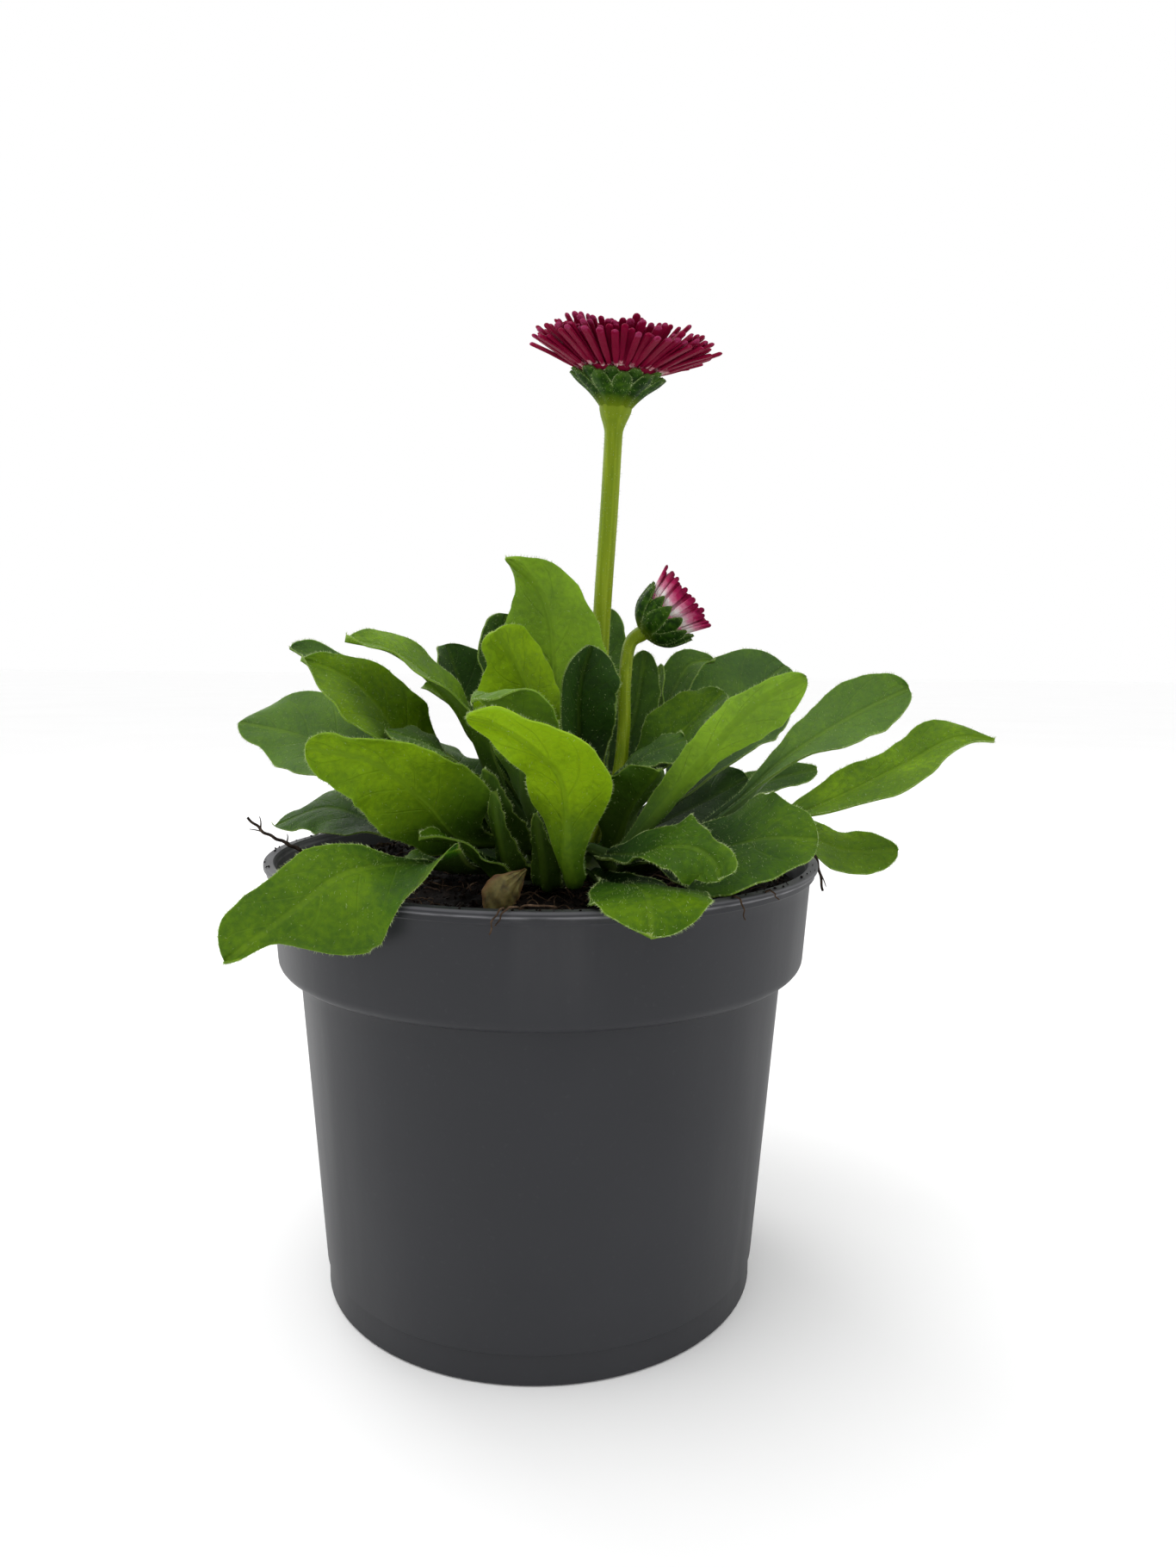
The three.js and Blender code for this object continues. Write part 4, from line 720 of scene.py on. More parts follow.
def back_leaves():
    """The guessed leaves behind, by turns low and far or high and near."""
    leaves = []
    for i in range(BACK_LEAVES):
        heading = lerp(BACK_FROM, BACK_TO, i / (BACK_LEAVES - 1))
        high = (i + 1) % 2
        reach = BACK_REACH * vary(0.08, i + 1) * (0.85 if high else 1)
        rise = BACK_RISE * (1.5 if high else 1) + 3 * scatter(i + 11)
        way = np.array([math.cos(math.radians(heading)), math.sin(math.radians(heading)), 0])
        route = [CROWN_CENTRE + reach * share * way + [0, 0, 4 + rise * climb]
                 for share, climb in ((0.45, 0.45), (0.75, 0.85), (1, 1))]
        leaves.append(leaf(
            f"back_{i + 1}", MIDDLE if high else OUTER, heading + (6 if high else 0),
            BACK_WIDTH + 2 * scatter(i + 21), (0.1 * scatter(i + 41), 0.3), route,
            roll=[0, BACK_ROLL], fold=[12, 12]))
    return leaves


def bloom_frame(tilt):
    a, b = (math.radians(angle) for angle in tilt)
    return np.array(Matrix.Rotation(a, 3, "X") @ Matrix.Rotation(b, 3, "Y"))


def stalk_end(top, tilt):
    axis = bloom_frame(tilt) @ UP
    return [top - STALK_STRAIGHT * axis, top - CLEARANCE * axis]


def stalk_shape(line, foot, waist, top, neck):
    """A round ribbed stalk that flares into the bloom, with soft hairs."""
    s = np.linspace(0, 1, STALK_ROWS)
    centre, along = line.walk(s)
    from_top = (1 - s) * line.lengths[-1]
    radius = lerp(foot, waist, ease(0, 0.5, s)) + (top - waist) * (1 - ease(0, neck * 2, from_top))
    turn = turns(STALK_SIDES)
    side = unit(np.cross(along, [0.2, 1, 0.1]))
    rib = np.cos(STALK_RIBS * turn)
    ring = radius[:, None] * (1 + 0.035 * rib)[None, :]
    points = sweep(centre, side, ring * np.cos(turn), np.cross(along, side), ring * np.sin(turn))
    shape = Shape().add_skin(points, along=s[:, None], rib=rib)
    count = int(line.lengths[-1] * STALK_HAIRS_PER_MM)
    at, where = RANDOM.integers(3, len(s) - 1, count), RANDOM.integers(0, STALK_SIDES, count)
    share = RANDOM.random(count)[:, None]
    roots = points[at, where] * share + points[at - 1, where] * (1 - share)
    lean = unit(roots - (centre[at] * share + centre[at - 1] * (1 - share)))
    lean = lean + 0.3 * along[at] + RANDOM.normal(0, 0.25, (count, 3))
    hairs(shape, roots, lean, STALK_HAIR_LENGTH)
    return shape


def florets_shape(core, count, spread, z, lean, length, width, seed=0):
    """Quilled florets on a low core: golden-angle places, most upright at the centre."""
    shape = lathe(core, HEAD_SIDES, along=0.5)
    cap = 0.5 * width / length
    s = np.concatenate([np.linspace(0, 1 - cap, FLORET_ROWS) ** 0.9, 1 - cap * (1 - FLORET_TIP)])
    turn = turns(FLORET_SIDES)
    trough = 1 - FLORET_TROUGH * np.maximum(0, -np.sin(turn)) ** 2 * ease(0.1, 0.6, s)[:, None]
    end = np.sqrt(1 - np.clip((s - 1 + cap) / cap, 0, 0.985) ** 2)
    for i in range(count):
        share = math.sqrt((i + 0.5) / count)
        k = i + seed
        azimuth = math.radians(GOLDEN_ANGLE * i + 9 * scatter(k))
        tilt = math.radians(lean * share * (1 + 0.04 * math.cos(azimuth)) + 5 * scatter(k + 5))
        size = length * (0.68 + 0.32 * float(ease(0, 0.9, share))) * vary(0.12, k + 50)
        out = np.array([math.cos(azimuth), math.sin(azimuth), 0])
        side = np.array([[-math.sin(azimuth), math.cos(azimuth), 0]])
        angle = tilt + math.radians(8 * scatter(k + 90)) * (s - 0.5)
        along = out * np.sin(angle)[:, None] + UP * np.cos(angle)[:, None]
        steps = along[1:] * np.diff(s)[:, None] * size
        climb = np.vstack([np.zeros(3), np.cumsum(steps, axis=0)])
        centre = out * spread * share + UP * z + climb
        broad = width / 2 * (0.55 + 0.45 * ease(0, 0.5, s)) * vary(0.12, k + 130) * end
        flat = FLORET_FLATNESS * broad[:, None] * np.sin(turn) * trough
        ring = sweep(centre, side, broad[:, None] * np.cos(turn), np.cross(along, side), flat)
        shape.add_skin(ring, along=s[:, None], wild=scatter(k + 210))
    return shape


def lathe(outline, sides, along=-1.0):
    """A solid of revolution from pairs of radius and height."""
    radii, heights = np.array(outline, float).T[:, :, None]
    return Shape().add_skin(polar(np.maximum(radii, 0.01), turns(sides), heights), along=along)


def bracts_shape(cup, path, inset, count, width, profile):
    """A cup hugged by two whorls of broad bracts with pale hairy edges."""
    shape = lathe(cup, HEAD_SIDES)
    line = Line([[r, 0, z] for r, z in path])
    s = np.linspace(0, 1, BRACT_ROWS)
    q = np.linspace(-1, 1, BRACT_COLUMNS)
    profile = np.interp(s, BRACT_STATIONS, profile)
    for i in range(count):
        inner = i % 2
        azimuth = 2 * np.pi * i / count + 0.06 * scatter(i + 7)
        centre, along = line.walk(s * ((1 if inner else 0.94) * vary(0.04, i + 3)))
        face_r, face_z = along[:, 2:], -along[:, :1]
        shift = -inset * inner + 0.15
        r, z = centre[:, :1] + face_r * shift, centre[:, 2:] + face_z * shift
        half = (width / 2 * profile * vary(0.08, i + 23))[:, None]
        turn = azimuth + q * half / np.maximum(r, 1.2)
        relief = -0.32 * q ** 2 * half / (width / 2) + 0.12 * np.exp(-(q / 0.25) ** 2)
        upper = polar(r + face_r * relief, turn, z + face_z * relief)
        under = upper - BRACT_THICKNESS * polar(face_r, turn, face_z)
        shape.add_sheet(upper, under, along=s[:, None], across=q, wild=scatter(i + 61))
        bract_hairs(shape, upper, under)
    return shape


def bract_hairs(shape, upper, under):
    rows, columns = upper.shape[:2]
    for column, sign in ((0, -1), (columns - 1, 1)):
        at = RANDOM.integers(2, rows - 1, BRACT_EDGE_HAIRS)
        share = RANDOM.random(BRACT_EDGE_HAIRS)[:, None]
        roots = upper[at, column] * share + upper[at - 1, column] * (1 - share)
        way = unit(upper[at, column] - upper[at, column - sign])
        face = unit(upper[at, column] - under[at, column])
        lean = way + 0.8 * face + RANDOM.normal(0, 0.35, (BRACT_EDGE_HAIRS, 3))
        hairs(shape, roots, lean, BRACT_EDGE_HAIR_LENGTH)
    at = RANDOM.integers(1, rows, BRACT_FACE_HAIRS)
    where = RANDOM.integers(0, columns, BRACT_FACE_HAIRS)
    roots = upper[at, where]
    lean = unit(roots - under[at, where]) + RANDOM.normal(0, 0.4, (BRACT_FACE_HAIRS, 3))
    hairs(shape, roots, lean, BRACT_FACE_HAIR_LENGTH)


# Each bloom: the top and tilt of its stalk, the stalk's widths, its base angle on the crown
# and its route, the cup and bracts under the head, and the core and florets on it
BLOOMS = [
    dict(name="tall", top=[14.8, 0.0, 191.0], tilt=(9, 4), floret="crimson",
         stalk=dict(foot=2.3, waist=1.9, top=3.5, neck=3), base=20,
         route=[[11.2, 0, 115], [12.3, 0, 145], [13.7, 0, 170]],
         bracts=dict(
             cup=[[0, 0], [3.1, 0], [4.7, 1.8], [6.8, 3.8], [8.8, 5.2], [8.8, 5.5], [0, 5.6]],
             path=[[3.3, -0.5], [4.3, 0.7], [6.2, 2.5], [8.8, 4.4], [10.5, 6.1]],
             inset=0.45, count=21, width=3.9, profile=[0.6, 0.8, 1, 1, 0.85, 0.3]),
         florets=dict(
             core=[[0, 6.0], [8.8, 6.0], [9, 6.9], [6, 8], [0, 8.6]],
             count=250, spread=8.7, z=6.7, lean=68, length=12.3, width=1.5)),
    dict(name="short", top=[22.0, 4.0, 143.0], tilt=(8, 52), floret="pink",
         stalk=dict(foot=1.9, waist=1.4, top=1.7, neck=2), base=330,
         route=[[15.6, -1.6, 108], [17.6, 1, 121], [17.7, 2, 132]],
         bracts=dict(
             cup=[[0, 0], [1.6, 0], [3.9, 0.9], [5.8, 2.7], [6.7, 5], [6.4, 5.6], [0, 5.6]],
             path=[[1.3, -0.4], [4.2, 0.8], [6.2, 2.7], [7.2, 5.2], [7.9, 8.2]],
             inset=0.4, count=14, width=4.2, profile=[0.6, 0.85, 1.08, 0.92, 0.55, 0.06]),
         florets=dict(
             core=[[0, 5.8], [6, 5.8], [6, 6.6], [4, 7.6], [0, 8]],
             count=96, spread=5.7, z=6.3, lean=24, length=6.6, width=1.3, seed=300)),
]


def make_blooms(looks):
    for bloom in BLOOMS:
        name = bloom["name"]
        end = stalk_end(np.array(bloom["top"]), bloom["tilt"])
        line = growth_line(INNER, bloom["base"], [*bloom["route"], *end])
        piece(name + "_stalk", stalk_shape(line, **bloom["stalk"]),
              [looks["stalk"], looks["hair"]], ["stalk_" + name])
    for bloom in BLOOMS:
        name, turn, top = bloom["name"], bloom_frame(bloom["tilt"]), bloom["top"]
        bracts = bracts_shape(**bloom["bracts"]).placed(turn, top)
        piece(name + "_bracts", bracts, [looks["bract"], looks["hair"]],
              ["involucre_" + name])
        florets = florets_shape(**bloom["florets"]).placed(turn, top)
        piece(name + "_florets", florets, [looks[bloom["floret"]]],
              ["florets_" + name])


# Pot
def pot_outline():
    """Radius and height round the pot's wall: under the floor, up outside, down inside."""
    floor_top = FLOOR_Z + FLOOR_THICKNESS
    foot_inside = FOOT_RADIUS - WALL_THICKNESS
    lip_foot = POT_HEIGHT - LIP_DEPTH
    lip_under = LIP_RADIUS - LIP_BEAD_OUT
    bead_foot = POT_HEIGHT - LIP_BEAD_FOOT
    inside = WALL_FOOT_RADIUS - WALL_THICKNESS
    wall = [(lerp(WALL_FOOT_RADIUS, WALL_TOP_RADIUS, k), lerp(FOOT_HEIGHT, COLLAR_FOOT_Z - 0.5, k))
            for k in np.linspace(0.05, 1, 20)]
    corner = [(COLLAR_FOOT_RADIUS - COLLAR_ROUND * (1 - math.sin(a)),
               COLLAR_FOOT_Z + COLLAR_ROUND * (1 - math.cos(a)))
              for a in np.radians([0, 15, 30, 45, 60, 75, 90])]
    collar = [(lerp(COLLAR_FOOT_RADIUS, COLLAR_TOP_RADIUS, k),
               lerp(COLLAR_FOOT_Z + COLLAR_ROUND, lip_foot - 0.3, k))
              for k in np.linspace(0.1, 1, 9)]
    bead = [(LIP_RADIUS - LIP_BEAD_ROUND * (1 - math.cos(a)),
             POT_HEIGHT - LIP_BEAD_ROUND * (1 - math.sin(a)))
            for a in np.radians([0, 30, 60, 90])]
    return [
        (0, 0), (PAD_RADIUS - 0.3, 0), (PAD_RADIUS, 0.3), (PAD_RADIUS + PAD_DRAFT, FLOOR_Z),
        (foot_inside - 0.3, FLOOR_Z), (foot_inside, 0.15), (foot_inside + 0.15, 0),
        (FOOT_RADIUS - 0.2, 0), (FOOT_RADIUS, 0.2), (FOOT_RADIUS, FOOT_HEIGHT),
        (WALL_FOOT_RADIUS - 0.1, FOOT_HEIGHT), (WALL_FOOT_RADIUS, FOOT_HEIGHT + 0.1),
        *wall,
        (WALL_TOP_RADIUS + 0.1, COLLAR_FOOT_Z - 0.2), (WALL_TOP_RADIUS + 0.4, COLLAR_FOOT_Z),
        *corner,
        *collar,
        (COLLAR_TOP_RADIUS + 0.1, lip_foot - 0.05), (COLLAR_TOP_RADIUS + 0.3, lip_foot),
        (lip_under - 0.15, lip_foot + 0.05), (lip_under, lip_foot + 0.25),
        (lip_under, bead_foot - 0.05), (LIP_RADIUS - 0.12, bead_foot + 0.1),
        (LIP_RADIUS, bead_foot + 0.3),
        *bead,
        (LIP_RADIUS - LIP_TOP_WIDTH, POT_HEIGHT),
        (COLLAR_TOP_RADIUS - WALL_THICKNESS, POT_HEIGHT - 1),
        (COLLAR_FOOT_RADIUS - WALL_THICKNESS, COLLAR_FOOT_Z + 2 * WALL_THICKNESS),
        (WALL_TOP_RADIUS - WALL_THICKNESS, COLLAR_FOOT_Z),
        (inside, floor_top + 1), (inside - 1, floor_top), (0, floor_top),
    ]


def notch_block(angle):
    """A block that cuts one notch into the foot, at that angle round it."""
    outline = notch_outline()
    place = Matrix.Rotation(math.radians(angle + 90), 3, "Z")
    points = [tuple(place @ Vector((x, y, z)))
              for y in (-(FOOT_RADIUS + NOTCH_INSIDE), -(FOOT_RADIUS - NOTCH_OUTSIDE))
              for x, z in outline]
    return points, ring_faces(2, len(outline))


def drain_block(index):
    """A round block that cuts one drain hole through the floor."""
    turn = 2 * np.pi * (index + 0.5) / DRAIN_COUNT
    centre = Vector((DRAIN_CIRCLE * math.cos(turn), DRAIN_CIRCLE * math.sin(turn), FLOOR_Z))
    points = [tuple(centre + Vector((DRAIN_RADIUS * math.cos(a), DRAIN_RADIUS * math.sin(a), z)))
              for z in DRAIN_CUT for a in turns(DRAIN_SIDES)]
    return points, ring_faces(2, DRAIN_SIDES)


def notch_outline():
    half = NOTCH_WIDTH / 2
    points = [(-half, -1), (half, -1)]
    for k in np.linspace(0.1, 1, 8):
        u = 1 - k
        xs = (half, half - NOTCH_SLOPE / 4, half - NOTCH_SLOPE * 3 / 4, half - NOTCH_SLOPE)
        zs = (-1, NOTCH_HEIGHT / 3, NOTCH_HEIGHT, NOTCH_HEIGHT)
        share = (u ** 3, 3 * u * u * k, 3 * u * k * k, k ** 3)
        points.append((sum(a * b for a, b in zip(share, xs)), sum(a * b for a, b in zip(share, zs))))
    for a in np.radians([0, 22.5, 45, 67.5, 90]):
        points.append((-half + NOTCH_CORNER * (1 - math.sin(a)),
                       NOTCH_HEIGHT - NOTCH_CORNER * (1 - math.cos(a))))
    return points


def cut(target, parts, name):
    """Takes solid blocks away from an object and keeps the result as its mesh."""
    points, faces = [], []
    for more_points, more_faces in parts:
        faces += [tuple(k + len(points) for k in face) for face in more_faces]
        points += more_points
    cutter = new_object(name, new_mesh(name, points, faces))
    change = target.modifiers.new(name, "BOOLEAN")
    change.operation = "DIFFERENCE"
    change.solver = "EXACT"
    change.object = cutter
    bpy.context.view_layer.update()
    graph = bpy.context.evaluated_depsgraph_get()
    result = bpy.data.meshes.new_from_object(target.evaluated_get(graph))
    target.modifiers.clear()
    target.data = result
    bpy.data.objects.remove(cutter)


def make_pot(looks):
    made = piece("nursery_pot", lathe(pot_outline(), POT_SIDES), [looks["plastic"]], ["pot"],
                 sharp=POT_SHARP)
    cut(made, [notch_block(angle) for angle in NOTCH_ANGLES], "notch_cutter")
    cut(made, [drain_block(i) for i in range(DRAIN_COUNT)], "drain_cutter")
    made.data.set_sharp_from_angle(angle=math.radians(POT_SHARP))


# Peat, crown and what lies about them
def peat_height(x, y):
    """The height of the peat: a low mound, one heap at the back left, and a gentle relief."""
    radius = np.hypot(x, y)
    hx, hy, height, spread = PEAT_HEAP
    heap = height * np.exp(-((x - hx) ** 2 + (y - hy) ** 2) / spread ** 2)
    relief = 0.5 * np.sin(0.9 * x + 0.4 * y) * np.sin(0.35 * x - 0.8 * y + 1)
    return PEAT_EDGE_Z + PEAT_MOUND * (1 - (radius / COLLAR_TOP_RADIUS) ** 2) + heap + relief


def peat_shape():
    inset = WALL_THICKNESS + PEAT_GAP
    bottom = FLOOR_Z + FLOOR_THICKNESS + PEAT_GAP
    hole = CROWN_RADIUS + PEAT_GAP
    rim = COLLAR_TOP_RADIUS - inset - 0.3
    levels = [(WALL_FOOT_RADIUS - inset - 1, bottom), (WALL_FOOT_RADIUS - inset, bottom + 1.3),
              (WALL_TOP_RADIUS - inset, COLLAR_FOOT_Z + PEAT_GAP),
              (COLLAR_FOOT_RADIUS - inset, COLLAR_FOOT_Z + 2 * WALL_THICKNESS + 2 * PEAT_GAP)]
    levels += [(radius, None) for radius in np.linspace(rim, hole, PEAT_ROWS)]
    levels.append((hole, CROWN_CENTRE[2] - CROWN_DEPTH - PEAT_GAP))
    turn = turns(PEAT_SIDES)
    rings = []
    for radius, z in levels:
        shift = 1 - float(ease(hole, 41, radius))
        x = radius * np.cos(turn) + shift * CROWN_CENTRE[0]
        y = radius * np.sin(turn) + shift * CROWN_CENTRE[1]
        if z is None:
            rough = (np.sin(2.1 * x + 1.3 * y) * np.sin(1.7 * y - 2.6 * x)
                     + 0.7 * np.sin(4.3 * x - 3.1 * y) * np.sin(3.9 * x + 4.7 * y))
            inner = 0.35 if hole + 0.5 < radius < rim - 0.3 else 0
            height = peat_height(x, y) + inner * rough + inner * RANDOM.normal(0, 0.5, PEAT_SIDES)
        else:
            height = np.full(PEAT_SIDES, z)
        rings.append(np.stack([x, y, height], axis=1))
    return Shape().add_skin(np.array(rings))


def scattered(count):
    """Places spread evenly over the peat between the crown and the rim."""
    radius = np.sqrt(RANDOM.uniform(PEAT_INNER ** 2, PEAT_OUTER ** 2, count))
    turn = RANDOM.uniform(0, 2 * np.pi, count)
    x = radius * np.cos(turn) + np.where(radius < 30, CROWN_CENTRE[0], 0)
    y = radius * np.sin(turn) + np.where(radius < 30, CROWN_CENTRE[1], 0)
    return x, y


# The rootlets over the rim, each with its side roots: where, which way and how long
ROOTLETS = {
    "left": ([[-51, 3, 90], [-54, 3, 93], [-58, 3, 95.2], [-62, 2, 97.5], [-65.5, 1, 101]],
             [(0.72, (-1, 0.2, 0.2), 4), (0.8, (-0.2, 0.5, 1), 3), (0.45, (0.2, -0.6, 0.8), 3)]),
    "right": ([[51, 3, 89.5], [56, 3, 94], [60, 3, 95], [62, 2, 92], [63.5, 1, 85]],
              [(0.8, (0.5, 0.2, -1), 4), (0.6, (-0.3, -0.5, 0.5), 3)]),
}

# Threads of root that lie over the front of the lip
RIM_THREADS = [
    [[-9, -55, 91], [-7, -57.5, 93], [-6.5, -59.5, 94.6], [-8, -61.3, 93], [-8.5, -61.6, 90.5]],
    [[-1, -57, 92], [-4, -58.5, 94.5], [-6, -60.3, 94.4], [-7.5, -61.4, 92]],
    [[-5, -57, 91.5], [-3, -58.4, 94.6], [0, -59.2, 94.9], [2.5, -58.5, 94.6], [1, -57.2, 93.5]],
    [[33, -46, 91], [34.5, -48.5, 94.4], [35.6, -50, 93.6], [36.2, -50.4, 90.5]],
    [[40, -42, 92], [42, -43.5, 94.5], [43.3, -44.8, 93]],
]
RIM_CRUMBS = 90

# A crumb: the corners and faces of an octahedron
CHUNK = np.array([(1, 0, 0), (-1, 0, 0), (0, 1, 0), (0, -1, 0), (0, 0, 1), (0, 0, -1)], float)
CHUNK_FACES = [(0, 2, 4), (2, 1, 4), (1, 3, 4), (3, 0, 4), (2, 0, 5), (1, 2, 5), (3, 1, 5), (0, 3, 5)]


def crumb(shape, size, at):
    points = CHUNK * size * RANDOM.uniform(0.6, 1.3, 3) + RANDOM.normal(0, 0.25 * size, (6, 3))
    spin = np.array(Matrix.Rotation(RANDOM.uniform(0, 6.3), 3, Vector(RANDOM.normal(0, 1, 3))))
    shape.add(points @ spin.T + at, CHUNK_FACES, slot=CRUMB_SLOT, wild=RANDOM.uniform(-1, 1))


def crumbs(shape):
    x, y = scattered(PEAT_CRUMBS)
    sizes = 0.25 + 0.75 * RANDOM.random(PEAT_CRUMBS) ** 3
    for i in range(PEAT_CRUMBS):
        crumb(shape, sizes[i], [x[i], y[i], peat_height(x[i], y[i]) + 0.35 * sizes[i]])


def rim_litter(shape):
    """Threads of root and specks of peat on the lip."""
    s = np.linspace(0, 1, 24)
    for k, points in enumerate(RIM_THREADS):
        centre, _ = Line(points).walk(s)
        centre = centre + 0.15 * np.stack([np.sin(29 * s + k), np.sin(23 * s), 0 * s], axis=1)
        shape.add_skin(tube(centre, lerp(0.26, 0.12, s), 6), FIBRE_SLOT)
    turn = RANDOM.uniform(0, 2 * np.pi, RIM_CRUMBS)
    radius = LIP_RADIUS - RANDOM.uniform(0.2, LIP_TOP_WIDTH - 0.3, RIM_CRUMBS)
    for angle, r in zip(turn, radius):
        size = RANDOM.uniform(0.12, 0.32)
        crumb(shape, size, [r * math.cos(angle), r * math.sin(angle), POT_HEIGHT + 0.5 * size])


def fibres(shape):
    """Bent fibres that lie on the peat, cut short where they would reach the rim."""
    x, y = scattered(PEAT_FIBRES)
    steps = np.linspace(0, 1, FIBRE_STEPS)
    for i in range(PEAT_FIBRES):
        heading = RANDOM.uniform(0, 2 * np.pi)
        length = RANDOM.uniform(3, 11)
        turn = heading + RANDOM.normal(0, 0.9) * steps
        px = x[i] + np.cumsum(np.cos(turn)) * length / FIBRE_STEPS
        py = y[i] + np.cumsum(np.sin(turn)) * length / FIBRE_STEPS
        keep = np.hypot(px, py) < FIBRE_LIMIT
        if keep.sum() < FIBRE_LEAST:
            continue
        arch = RANDOM.uniform(0.4, 1.6) * np.sin(np.pi * steps)
        points = np.stack([px, py, peat_height(px, py) + 0.35 + arch], axis=1)[keep]
        radii = np.linspace(RANDOM.uniform(0.12, 0.3), 0.06, len(points))
        shape.add_skin(tube(points, radii, 4), FIBRE_SLOT, wild=RANDOM.uniform(-1, 1))


def crown_shape():
    outline = [(0, -CROWN_DEPTH), (CROWN_RADIUS, -CROWN_DEPTH)]
    outline += [(CROWN_RADIUS * math.cos(a), CROWN_DOME * math.sin(a))
                for a in np.linspace(0, math.pi / 2, 22)]
    shape = lathe(outline, CROWN_SIDES)
    points = shape.points[0]
    turn = np.arctan2(points[:, 1], points[:, 0])
    high = np.clip(points[:, 2] / CROWN_DOME, 0, 1)
    bump = 0.3 * np.abs(np.sin(9 * turn)) + 0.2 * np.abs(np.sin(17 * turn + 8 * high))
    shape.points[0] = points + unit(points) * ((bump - 0.5) * (high > 0.02))[:, None]
    return shape.placed(np.eye(3), CROWN_CENTRE)


def dead_leaf_shape():
    """The withered leaf: a narrow trough, wrinkled, with a thick midrib."""
    s, t = np.linspace(0, 1, 40)[:, None], np.linspace(-1, 1, 17)[None, :]
    centre, along = Line([[-9, -46, 89.3], [-7, -47, 94], [-3, -45, 98.5]]).walk(s[:, 0])
    side = square_to(along, np.array([0.85, 0.2, -0.5]))
    normal = np.cross(along, side)
    wide = smooth_run([2.6, 6, 7.6, 6.8, 3.8, 0.5], s) / 2
    wide = wide * (1 + 0.03 * np.sin(23 * s) + 0.02 * np.sin(41 * s))
    lift = wide * (1 - np.cos(1.1 * t)) + 0.25 * np.sin(9 * s + 4 * t) * np.abs(t)
    wrinkle = 0.18 * np.sin(14 * t + 5 * s) + 0.12 * np.sin(31 * s + 6 * t)
    upper = sweep(centre, side, wide * np.sin(1.1 * t), normal, lift + wrinkle)
    under = upper - normal[:, None, :] * (0.4 + 0.3 * np.exp(-(t / 0.12) ** 2))[..., None]
    return Shape().add_sheet(upper, under, across=t)


def rootlet_shape(points, side_roots):
    """A crooked root along a line, with side roots: where, which way and how long."""
    line = Line(points)
    s = np.linspace(0, 1, 60)
    centre, _ = line.walk(s)
    centre = centre + 0.12 * np.stack([np.sin(31 * s), np.sin(23 * s + 1), np.sin(37 * s + 2)], axis=1)
    shape = Shape().add_skin(tube(centre, lerp(0.5, 0.28, s), 8))
    steps = np.linspace(0, 1, 10)[:, None]
    for at, way, length in side_roots:
        start, _ = line.walk(np.array([at]))
        bend = np.array([0.4, 0.8, 0.3]) * np.sin(3 * steps)
        route = start + unit(np.array(way, float)) * length * steps + 0.35 * bend
        shape.add_skin(tube(route, np.linspace(0.22, 0.09, 10), 5))
    return shape


def make_ground(looks):
    peat = peat_shape()
    crumbs(peat)
    fibres(peat)
    rim_litter(peat)
    piece("peat", peat, [looks["peat"], looks["crumb"], looks["fibre"]], ["soil"],
          sharp=PEAT_SHARP)
    piece("root_crown", crown_shape(), [looks["crown"]], ["crown"])
    piece("withered_leaf", dead_leaf_shape(), [looks["dry"]], ["leaf_dead"])
    for side, (points, side_roots) in ROOTLETS.items():
        piece("rootlet_" + side, rootlet_shape(points, side_roots), [looks["root"]],
              ["root_" + side])


def make_leaves(looks):
    for index, row in enumerate(LEAVES + back_leaves()):
        piece("blade_" + row["name"], leaf_shape(row, index), [looks["leaf"], looks["hair"]],
              ["leaf_" + row["name"]], sharp=LEAF_SHARP)


